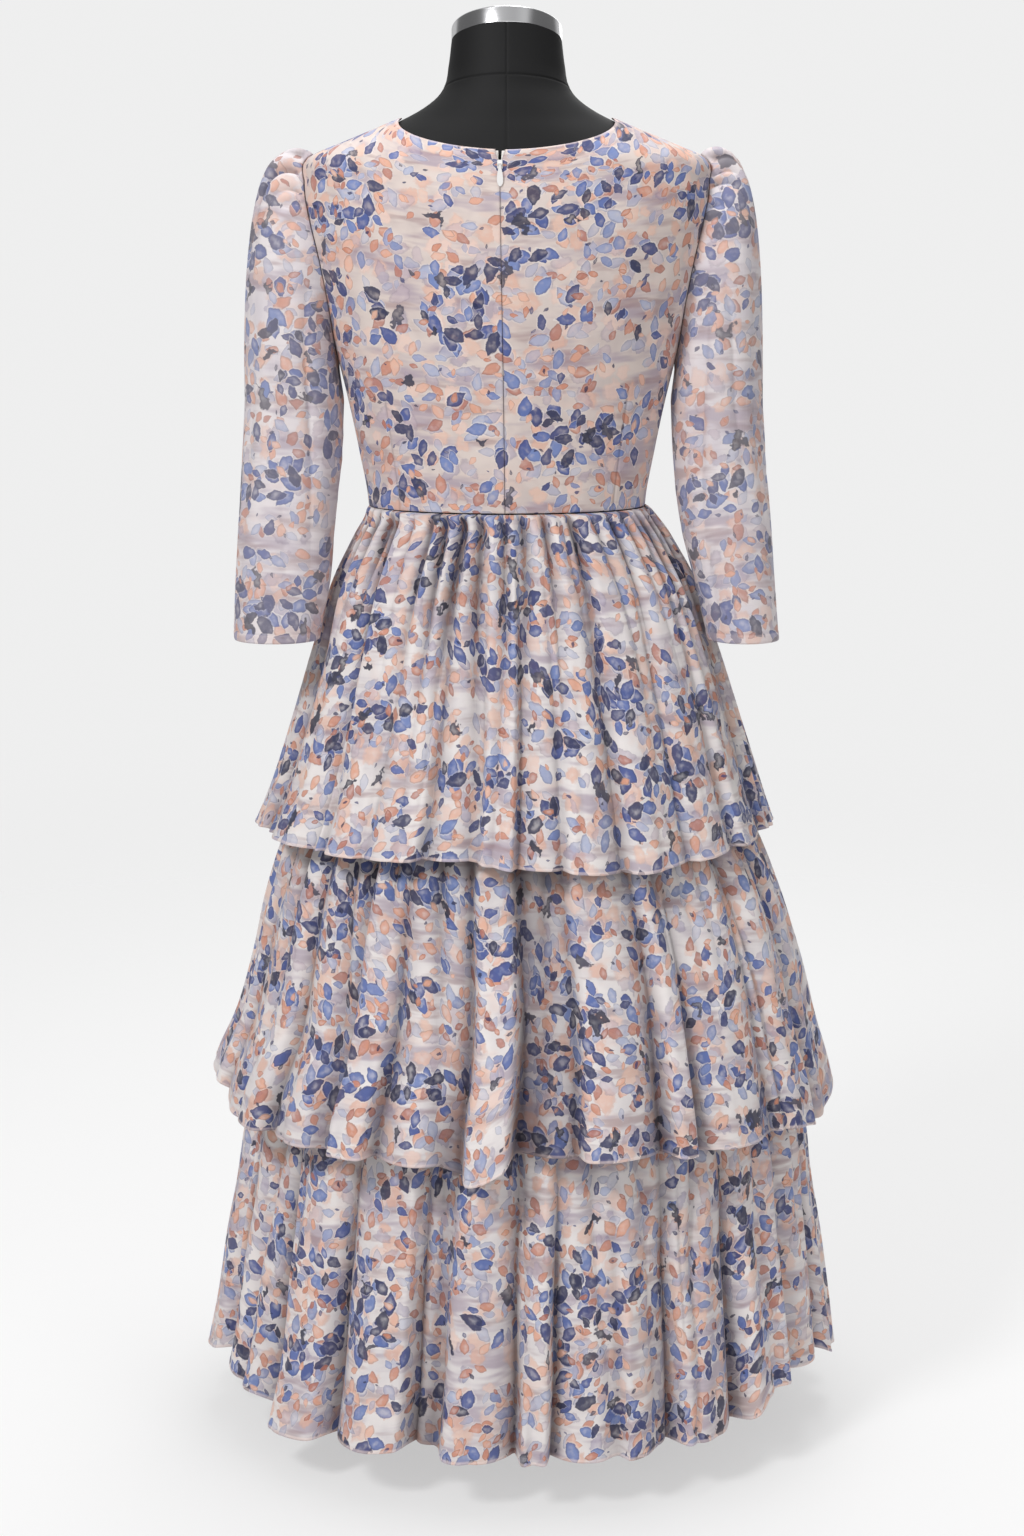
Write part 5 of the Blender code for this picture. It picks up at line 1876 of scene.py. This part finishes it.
    def build(self, finishes: Finishes) -> None:
        """Builds the sleeve.

        Args:
            finishes: The materials.
        """
        name = "sleeve_right" if self.side > 0 else "sleeve_left"
        down_knots = ((0.0, 0.0), (0.30, 0.16), (0.86, 0.955), (1.0, 1.0))
        grid = Grid(192, 96, down_knots=down_knots, closed=True, unwrapped=True)
        sleeve = cloth_object(
            name + "_cloth", grid, self.shape, finishes.sleeve, self.side < 0,
            (4.1 + self.side, 0.9 + 0.37 * self.side),
        )
        settle(sleeve, "printed_chiffon", name)


@dataclass
class Tier:
    """One gathered tier of the skirt, made as a back and a front half.

    Attributes:
        name: The tier's name.
        top: The height of its gathered top.
        rings: Its outermost lines.
        valleys: Its large furrows.
        hem: Its hem's heights.
        gathers: Number of gathers all round.
        gather_depth: How deep they are drawn in just below the seam.
        gather_reach: Shortest and longest fall of a gather.
        columns: Faces across a half.
        rows: Faces down.
        seed: Start of its chance folds.
        flat: The cut size of a half, width by length. Not used.
        flat_area: The area of that cut, which is a little curved. Not used.
        behind: How far out what hangs behind it reaches, by angle and height.
        print_start: Where on the printed roll it is cut.
        widen: How much wider a furrow is than in the solid.
        core: The width of its narrow core.
        hold: Shares of a gather's depth that may last down to the hem.
        wander: How far a gather strays to each side, in degrees.
        small_folds: Number of small folds all round.
        full_shade: The depth at which the cloth is fully shaded.
        puff: How far the gathers swell out just below the seam.
        skew: How much steeper a furrow's wall is on the side that it leans to.
        leaning: The share of the solid's lean that the furrows keep.
        tuck: How far the top edge turns in to meet the seam.
        shade_power: How much the shade keeps to the deepest places.
        line_width: The width of a furrow's painted shade line, as a share of the furrow's.
        broad_share: How much of a furrow's depth its broad slopes have, not its core.
        wave_length: Metres of fall over which a gather's straying turns.
        puff_place: How far below the seam the swelling is, and how tall it is.
        air: Least distance from what hangs behind, and the least room that is left.
        least_full: The least depth that may count as fully shaded.
        side_calm: Degrees from a side seam over which the furrows' lean fades in.
        hem_width: Width of the rolled hem.
        stitch_line: Distance of the hem's stitch line from the hem.
    """

    name: str
    top: float
    rings: list[Ring]
    valleys: list[Valley]
    hem: list[Hem]
    gathers: int
    gather_depth: float
    gather_reach: tuple[float, float]
    columns: int
    rows: int
    seed: int
    flat: tuple[float, float]
    flat_area: float
    behind: Reach
    print_start: tuple[float, float]
    widen: float = 1.14
    core: float = 0.52
    hold: tuple[float, ...] = (0.02, 0.06, 0.12, 0.45)
    wander: float = 0.35
    small_folds: int = 72
    full_shade: float = 0.026
    puff: float = 0.0
    skew: float = 0.42
    leaning: float = 0.55
    tuck: float = 0.0
    shade_power: float = 1.4
    line_width: float = 0.42
    broad_share: float = 0.46
    wave_length: float = 0.045
    puff_place: tuple[float, float] = (0.030, 0.032)
    air: tuple[float, float] = (0.0020, 0.0008)
    least_full: float = 0.007
    side_calm: float = 3.0
    hem_width: float = 0.0034
    stitch_line: float = 0.0036

    def __post_init__(self) -> None:
        """Draws the chance gathers and small folds once, for both halves."""
        chance = np.random.default_rng(self.seed)
        self.profile = Profile(self.rings)
        step = 360.0 / self.gathers
        places = 90.0 + step * (np.arange(self.gathers) + 0.5)
        self.gather_rows = [
            (place + chance.uniform(-0.36, 0.36) * step, chance.uniform(0.30, 1.25),
             chance.uniform(0.38, 0.78) * step, chance.uniform(*self.gather_reach),
             chance.uniform(-14.0, 14.0), chance.choice(self.hold))
            for place in places
        ]
        self.small_rows = [
            (chance.uniform(-90.0, 270.0), chance.uniform(-0.0050, 0.0022),
             chance.uniform(0.9, 2.4), chance.uniform(0.0, 0.65), chance.uniform(-6.0, 6.0))
            for _ in range(self.small_folds)
        ]

    def hem_height(self, angle: Array) -> Array:
        """The hem's height at an angle, eased from row to row.

        Args:
            angle: Degrees from the back centre.

        Returns:
            Heights in metres.
        """
        round_angle = np.remainder(angle + 90.0, 360.0) - 90.0
        places = np.array([row.angle for row in self.hem])
        heights = np.array([row.height for row in self.hem])
        i = np.clip(np.searchsorted(places, round_angle) - 1, 0, len(places) - 2)
        share = smooth_step((round_angle - places[i]) / (places[i + 1] - places[i]))
        return heights[i] + (heights[i + 1] - heights[i]) * share

    def draw(self, angle: Array, down: Array, fall: Array) -> tuple[Array, Array, Array]:
        """How far the cloth is drawn in, how far its furrows lean and where their painted shade
        lines lie.

        Args:
            angle: Degrees from the back centre.
            down: Shares from the top to the hem.
            fall: Metres below the top.

        Returns:
            The draw in metres, the lean in degrees and the painted shade line of each furrow, 0 to
            1.
        """
        drawn = np.zeros_like(angle)
        lean = np.zeros_like(angle)
        line = np.zeros_like(angle)
        for valley in self.valleys:
            off = turned(angle - valley.angle) / (valley.width * self.widen)
            off = np.abs(off) / (1.0 - self.skew * np.sign(off * valley.lean))
            share = np.clip((down - valley.start) / (1 - valley.start), 0.0, 1.0)
            broad = (0.5 * (1 + np.cos(np.pi * np.clip(off, 0, 1)))) ** 1.2
            grown = share**FOLD_GROWTH
            section = self.broad_share * broad + (1 - self.broad_share) * cusp(off, self.core)
            drawn += 0.001 * valley.depth * grown * section
            lean += self.leaning * valley.lean * grown * broad
            # A painted shade line along the bottom of each deep furrow.
            deep = min(valley.depth / 30.0, 1.0) * smooth_step(1.6 * share)
            line = np.maximum(line, deep * cusp(off, self.line_width))
        for place, size, width, reach, drift, hold in self.gather_rows:
            wave = self.wander * np.sin(fall / self.wave_length + place)
            off = turned(angle - place - drift * fall - wave)
            deep = self.gather_depth * size * smooth_step(0.35 + fall / 0.03)
            kept = hold + (1 - hold) / (1 + (fall / reach) ** 2.4)
            drawn += deep * kept * cusp(off, width)
        for place, depth, width, start, drift in self.small_rows:
            off = turned(angle - place - drift * (down - 0.5)) / width
            grown = smooth_step((down - start) / 0.30)
            drawn -= depth * bump(off, 1.0) * grown
        return drawn, lean, line

    def half(self, middle: float, across: Array, down: Array) -> Shell:
        """The shape of the half whose middle is at an angle.

        Args:
            middle: That angle in degrees.
            across: Shares from one side seam to the other.
            down: Shares from the top to the hem.

        Returns:
            The shell.
        """
        angle = middle + 90.0 * (2 * across - 1)
        height = self.top + (self.hem_height(angle) - self.top) * down
        fall = self.top - height
        ring = self.profile.at(height)
        drawn, lean, line = self.draw(angle, down, fall)
        calm = smooth_step((90.0 - np.abs(turned(angle - middle))) / self.side_calm)
        turn = np.radians(angle + lean * calm)
        depth = depth_at(np.radians(angle), ring)
        swelling = bump(fall - self.puff_place[0], self.puff_place[1])
        depth = depth + self.puff * swelling * np.cos(turn) ** 2
        out = np.hypot(ring.half_width * np.sin(turn), depth * np.cos(turn))
        tuck = self.tuck * (1 - smooth_step(fall / 0.004))
        air, least = self.air
        room = np.maximum(out - self.behind(angle, height) - tuck - air, least)
        drawn = np.where(drawn > 0, room * np.tanh(drawn / room), drawn)
        x = ring.shift + (ring.half_width - tuck - drawn) * np.sin(turn)
        y = -(depth - tuck - drawn) * np.cos(turn)
        points = np.stack((x, y, height), axis=-1)
        made = self.finish_half(points, drawn, down)
        # Painted shade: the deeper the cloth is drawn in, the darker its colour, and darker still
        # along each furrow's line.
        full = np.maximum(np.minimum(0.9 * room, self.full_shade), self.least_full)
        made.shade = np.maximum(smooth_step(drawn / full) ** self.shade_power, line)
        return made

    def finish_half(self, points: Array, drawn: Array, down: Array) -> Shell:
        """Lays the half out flat, with its fullness hidden in the furrows, and hems it.

        Args:
            points: The half's surface.
            drawn: How far each point is drawn in.
            down: Shares from the top to the hem.

        Returns:
            The finished shell.
        """
        steps = arc_lengths(points, 1)
        inner = 0.5 * (drawn[:, 1:] + drawn[:, :-1])
        furrow = (inner / np.maximum(inner.max(axis=1, keepdims=True), 1e-6)) ** 2 + 0.04
        full = steps[-1].sum()
        missing = 0.75 * np.maximum(full - steps.sum(axis=1, keepdims=True), 0.0)
        hidden = missing * (steps * furrow) / (steps * furrow).sum(axis=1, keepdims=True)
        along = np.cumsum(steps + hidden, axis=1)
        along = np.concatenate((np.zeros((len(points), 1)), along), axis=1)
        along = along - 0.5 * along[:, -1:]
        fall = np.concatenate(((0.0,), np.cumsum(arc_lengths(points, 0).mean(axis=1))))
        flat = np.stack((along, np.broadcast_to(-fall[:, None], along.shape)), axis=-1)
        to_hem = (fall[-1] - fall)[:, None] * np.ones_like(down)
        hem = smooth_step((self.hem_width - to_hem) / 0.0008)
        to_side = np.minimum(along - along[:, :1], along[:, -1:] - along)
        lift = 0.00035 * hem - 0.0004 * bump(to_hem, 0.0006)
        lift = lift - 0.0002 * bump(fall[:, None], 0.0012) - 0.0006 * bump(to_side, 0.0016)
        points = points + grid_normals(points, False) * lift[..., None]
        seam = np.maximum(0.2 * bump(fall[:, None], 0.0010), 0.5 * bump(to_side, 0.0012))
        seam = np.maximum(seam, 0.25 * bump(to_hem - self.stitch_line, 0.0006))
        return Shell(points, flat, seam, hem)

    def build(self, finishes: Finishes) -> None:
        """Builds both halves.

        Args:
            finishes: The materials.
        """
        top_end = 0.10 if self.gather_reach[1] > 0.05 else 0.06
        knots = ((0.0, 0.0), (0.24, top_end), (0.90, 0.985), (1.0, 1.0))
        grid = Grid(self.columns, self.rows, down_knots=knots)
        for middle, half in ((0.0, "back"), (180.0, "front")):
            name = self.name + "_" + half
            start = (self.print_start[0] + middle / 100.0, self.print_start[1])
            shape = partial(self.half, middle)
            cloth = cloth_object(name + "_cloth", grid, shape, finishes.skirt, print_start=start)
            settle(cloth, "printed_chiffon", name)


@dataclass
class Skirt:
    """The base skirt with the three tiers that hang over it.

    Attributes:
        base_columns: Faces round the base skirt.
        base_rows: Faces down it.
    """

    base_columns: int = 120
    base_rows: int = 40

    def base(self, across: Array, down: Array) -> Shell:
        """The plain skirt's surface.

        Args:
            across: Shares across.
            down: Shares down.

        Returns:
            The shell.
        """
        top, low = BASE_SKIRT_RINGS[-1].height, BASE_SKIRT_RINGS[0].height
        height = top + (low - top) * down
        ring = Profile(BASE_SKIRT_RINGS).at(height)
        turn = 2 * np.pi * across
        x = ring.shift + ring.half_width * np.sin(turn)
        points = np.stack((x, -depth_at(turn, ring) * np.cos(turn), height), axis=-1)
        nothing = np.zeros_like(across)
        return Shell(points, flat_places(points, 0.5), nothing, nothing)

    @staticmethod
    def reach(rings: list[Ring], angle: Array, height: Array) -> Array:
        """How far out a skirt reaches.

        Args:
            rings: The skirt's rings.
            angle: Degrees from the back centre.
            height: Heights in metres.

        Returns:
            Distances from the middle.
        """
        heights = [ring.height for ring in rings]
        ring = Profile(rings).at(np.clip(height, min(heights), max(heights)))
        turn = np.radians(angle)
        depth = depth_at(turn, ring) * np.cos(turn)
        return np.hypot(ring.half_width * np.sin(turn), depth)

    @classmethod
    def outermost(cls, rings: list[Ring], angle: Array, height: Array) -> Array:
        """The farther of the base skirt and a tier, each only where it hangs.

        Args:
            rings: The tier's rings.
            angle: Degrees from the back centre.
            height: Heights in metres.

        Returns:
            Distances from the middle.
        """
        tier_top = max(ring.height for ring in rings)
        base_low = min(ring.height for ring in BASE_SKIRT_RINGS)
        base = cls.reach(BASE_SKIRT_RINGS, angle, height)
        plain = np.where(height >= base_low, base, OPEN_REACH)
        tier = cls.reach(rings, angle, height)
        return np.maximum(plain, np.where(height <= tier_top + TIER_LAP, tier, 0.0))

    def tiers(self) -> list[Tier]:
        """The three tiers from the waist down."""
        return [
            Tier("tier_1", 0.9296, TIER_1_RINGS, TIER_1_VALLEYS, TIER_1_HEM, 48, 0.0190,
                 (0.040, 0.150), 480, 60, 3, (0.85, 0.355), 0.228,
                 partial(self.outermost, TIER_2_RINGS), (6.3, 0.0), puff=0.0055, tuck=0.0020),
            Tier("tier_2", 0.6800, TIER_2_RINGS, TIER_2_VALLEYS, TIER_2_HEM, 44, 0.0200,
                 (0.060, 0.200), 480, 46, 7, (1.165, 0.375), 0.315,
                 partial(self.outermost, TIER_3_RINGS), (10.7, 1.9),
                 hold=(0.04, 0.10, 0.22, 0.55)),
            Tier("tier_3", 0.4500, TIER_3_RINGS, TIER_3_VALLEYS, TIER_3_HEM, 44, 0.0190,
                 (0.060, 0.220), 480, 48, 13, (1.32, 0.412), 0.412,
                 partial(self.outermost, BASE_SKIRT_RINGS[:2]), (14.9, 3.1),
                 hold=(0.04, 0.10, 0.22, 0.55), full_shade=0.046),
        ]

    def build(self, finishes: Finishes) -> None:
        """Builds the base skirt and the tiers.

        Args:
            finishes: The materials.
        """
        grid = Grid(self.base_columns, self.base_rows, closed=True)
        base = cloth_object("base_skirt_cloth", grid, self.base, finishes.base)
        settle(base, "base_cloth", "base_skirt")
        for tier in self.tiers():
            tier.build(finishes)


@dataclass
class Zip:
    """The back zip: its tape and coil in the open notch, with the slider and tab.

    Attributes:
        tape_half: Half the tape's width.
        tape_low: Height of the tape's hidden end.
        tooth: Size of one coil turn: across, along the seam, and out.
        teeth: Number of turns on each side of the notch.
        slit_half: Half the width of the open slit above the slider.
        slit_edge: How wide the slit's rounded corner is.
        below_neck: How far the tape ends below the neck edge.
        slit_end: How far the slit ends above the slider.
        coil_rise: How far the coil's middle lies above the form.
    """

    tape_half: float = 0.0070
    tape_low: float = 1.150
    tooth: tuple[float, float, float] = (0.0013, 0.00062, 0.0009)
    teeth: int = 20
    slit_half: float = 0.0011
    slit_edge: float = 0.0006
    below_neck: float = 0.0006
    slit_end: float = 0.0035
    coil_rise: float = 0.0052

    @staticmethod
    def seam_angle(height: Array) -> Array:
        """The seam's angle from the back centre at a height."""
        share = (height - WAIST) / (BACK_NECK - WAIST)
        return -(ZIP_OFF_CENTRE + ZIP_DRIFT * share)

    def tape(self, across: Array, down: Array) -> Shell:
        """The tape's surface, just under the panels.

        Args:
            across: Shares across.
            down: Shares down.

        Returns:
            The shell.
        """
        off = (2 * across - 1) * self.tape_half
        slit = 1 - smooth_step((np.abs(off) - self.slit_half) / self.slit_edge)
        top = BACK_NECK - self.below_neck - (NOTCH_DEPTH - self.slit_end) * slit
        height = top + (self.tape_low - top) * down
        radius = BodyShape.profile.at(height).half_width
        angle = self.seam_angle(height) + np.degrees(off / radius)
        rise = ease_at(angle, height) - SEAM
        points = BodyShape.over(angle, height, rise)
        nothing = np.zeros_like(across)
        return Shell(points, flat_places(points, 0.5), nothing, nothing)

    def coil(self, side: int, finishes: Finishes) -> bpy.types.Object:
        """One side of the open coil, from the slider up to the neck edge.

        Args:
            side: 1 for the wearer's right and -1 for the left.
            finishes: The materials.

        Returns:
            The coil.
        """
        mesh = bmesh.new()
        low = BACK_NECK - NOTCH_DEPTH
        for turn in range(self.teeth):
            height = low + 0.0008 + (NOTCH_DEPTH - 0.0022) * turn / (self.teeth - 1)
            opened = float(smooth_step(np.array((height - low) / NOTCH_DEPTH)))
            gap = 0.0005 + (NOTCH_HALF_WIDTH - 0.0012) * opened
            radius = float(BodyShape.profile.at(height).half_width)
            angle = float(self.seam_angle(height)) + side * math.degrees(gap / radius)
            seat = BodyShape.over(np.array(angle), np.array(height), np.array(self.coil_rise))
            made = bmesh.ops.create_uvsphere(mesh, u_segments=8, v_segments=6, radius=0.5)
            bmesh.ops.scale(
                mesh, verts=made["verts"], vec=(self.tooth[0], self.tooth[2], self.tooth[1]),
            )
            bmesh.ops.translate(mesh, verts=made["verts"], vec=Vector(seat.tolist()))
        name = "zip_coil_right" if side > 0 else "zip_coil_left"
        coil = object_from(mesh, name, finishes.nylon)
        return settle(coil, "zip_white")

    def build(self, finishes: Finishes) -> None:
        """Builds the tape and coil, and lacquers the slider and the tab.

        Args:
            finishes: The materials.
        """
        coils = [self.coil(side, finishes) for side in (1, -1)]
        knots = ((0.0, 0.0), (0.25, 0.38), (0.75, 0.62), (1.0, 1.0))
        grid = Grid(40, 60, knots)
        tape = cloth_object("zip_tape_cloth", grid, self.tape, finishes.tape)
        settle(tape, "zip_white", "zip_tape")
        dress_node("zip_slider", finishes.lacquer)
        dress_node("zip_pull_tab", finishes.lacquer)


@dataclass
class Studio:
    """The camera, the pale floor and the soft lights.

    Attributes:
        camera_place: The camera's place.
        tilt: How far the camera looks down, in degrees.
        lens: Its focal length in mm on a sensor of 36 mm.
        floor_radius: The floor's radius, past which it fades away.
        backdrop: Brightness of the backdrop that the camera sees.
        room: Brightness of the room that lights the dress.
        floor_glow: How much the floor shines by itself, as a lit sweep does.
        floor_fade: Distances from the middle where the floor starts to fade and is gone.
        aim: The place that every lamp points to.
        walls: The room's tones from its -X side at 0 to its +X side at 1.
        lamps: Each lamp's name, place, size and power.
    """

    camera_place: tuple[float, float, float] = (0.005, -2.6, 1.185)
    tilt: float = 11.3
    lens: float = 61.875
    floor_radius: float = 9.0
    backdrop: float = 0.86
    room: float = 0.46
    floor_glow: float = 0.505
    floor_fade: tuple[float, float] = (0.9, 3.6)
    aim: tuple[float, float, float] = (0.0, 0.0, 0.75)
    walls: tuple[tuple[float, float], ...] = (
        (0.02, 0.30), (0.12, 0.34), (0.20, 1.30), (0.40, 1.15), (0.62, 1.05), (0.80, 1.30),
        (0.90, 0.34), (0.98, 0.30),
    )
    lamps: tuple[tuple[str, tuple[float, float, float], float, float], ...] = (
        ("key", (-1.8, -2.3, 3.2), 0.9, 76.0),
        ("fill", (2.2, -2.8, 1.9), 1.6, 16.0),
        ("top", (0.3, 0.4, 3.6), 1.8, 44.0),
        ("front", (0.7, 3.0, 2.2), 2.0, 16.0),
    )

    def build_camera(self) -> None:
        """Makes the scene's camera."""
        data = bpy.data.cameras.new("camera")
        data.lens = self.lens
        data.sensor_width = 36.0
        data.dof.use_dof = False
        camera = bpy.data.objects.new("camera", data)
        camera.location = self.camera_place
        camera.rotation_euler = (math.radians(90 - self.tilt), 0, 0)
        bpy.context.scene.collection.objects.link(camera)
        bpy.context.scene.camera = camera

    def build_floor(self) -> None:
        """Makes a pale floor that fades into the surroundings."""
        recipe = Recipe("pale_floor")
        x, y, _ = recipe.split(recipe.object_place())
        away = (x * x + y * y).root().between(*self.floor_fade)
        grain = recipe.noise_value(recipe.object_place(), 3.0)
        colour = recipe.mix(grain * 0.2, srgb(168, 168, 168), srgb(164, 164, 164))
        paint = recipe.surface({
            "Base Color": colour, "Roughness": 0.8, "Specular IOR Level": 0.2,
            "Emission Color": (1.0, 1.0, 1.0, 1.0), "Emission Strength": self.floor_glow,
        })
        clear = recipe.node("ShaderNodeBsdfTransparent", {}, {})
        finish = recipe.done(recipe.either(away, paint, clear))
        mesh = bmesh.new()
        bmesh.ops.create_circle(mesh, cap_ends=True, segments=96, radius=self.floor_radius)
        object_from(mesh, "floor", finish)

    def build_lights(self) -> None:
        """Makes the pale backdrop, the room's even light and the soft lamps."""
        scene = bpy.context.scene
        scene.view_settings.view_transform = "Standard"
        recipe = Recipe("surroundings", "ShaderNodeOutputWorld")
        direction = recipe.node("ShaderNodeTexCoord", {}, {}).outputs["Generated"]
        across, _, _ = recipe.split(direction)
        stops = [(spot, (tone, tone, tone, 1.0)) for spot, tone in self.walls]
        walls = recipe.node(
            "ShaderNodeValToRGB", {"interpolation": "EASE", "stops": stops},
            {0: 0.5 + 0.5 * across},
        )
        room = recipe.node(
            "ShaderNodeBackground", {}, {"Color": walls.outputs[0], "Strength": self.room}
        )
        seen = recipe.node(
            "ShaderNodeBackground", {},
            {"Color": (1.0, 1.0, 1.0, 1.0), "Strength": self.backdrop},
        )
        path = recipe.node("ShaderNodeLightPath", {}, {})
        scene.world = recipe.done(recipe.either(path.outputs["Is Camera Ray"], room, seen))
        for name, place, size, power in self.lamps:
            data = bpy.data.lights.new(name, "AREA")
            data.shape = "DISK"
            data.size = size
            data.energy = power
            light = bpy.data.objects.new(name, data)
            light.location = place
            aim = Vector(self.aim) - Vector(place)
            light.rotation_euler = aim.to_track_quat("-Z", "Y").to_euler()
            scene.collection.objects.link(light)

    def build(self) -> None:
        """Builds the whole studio."""
        self.build_camera()
        self.build_floor()
        self.build_lights()


def main() -> None:
    """Builds the dress on its form, then the studio round it."""
    logging.basicConfig(level=logging.INFO, format="%(name)s %(message)s")
    finishes = Finishes()
    Form().build(finishes)
    Bodice().build(finishes)
    Sleeve(1, RIGHT_SLEEVE, seed=11).build(finishes)
    Sleeve(-1, LEFT_SLEEVE, seed=29).build(finishes)
    Skirt().build(finishes)
    Zip().build(finishes)
    Studio().build()


if __name__ == "__main__":
    main()
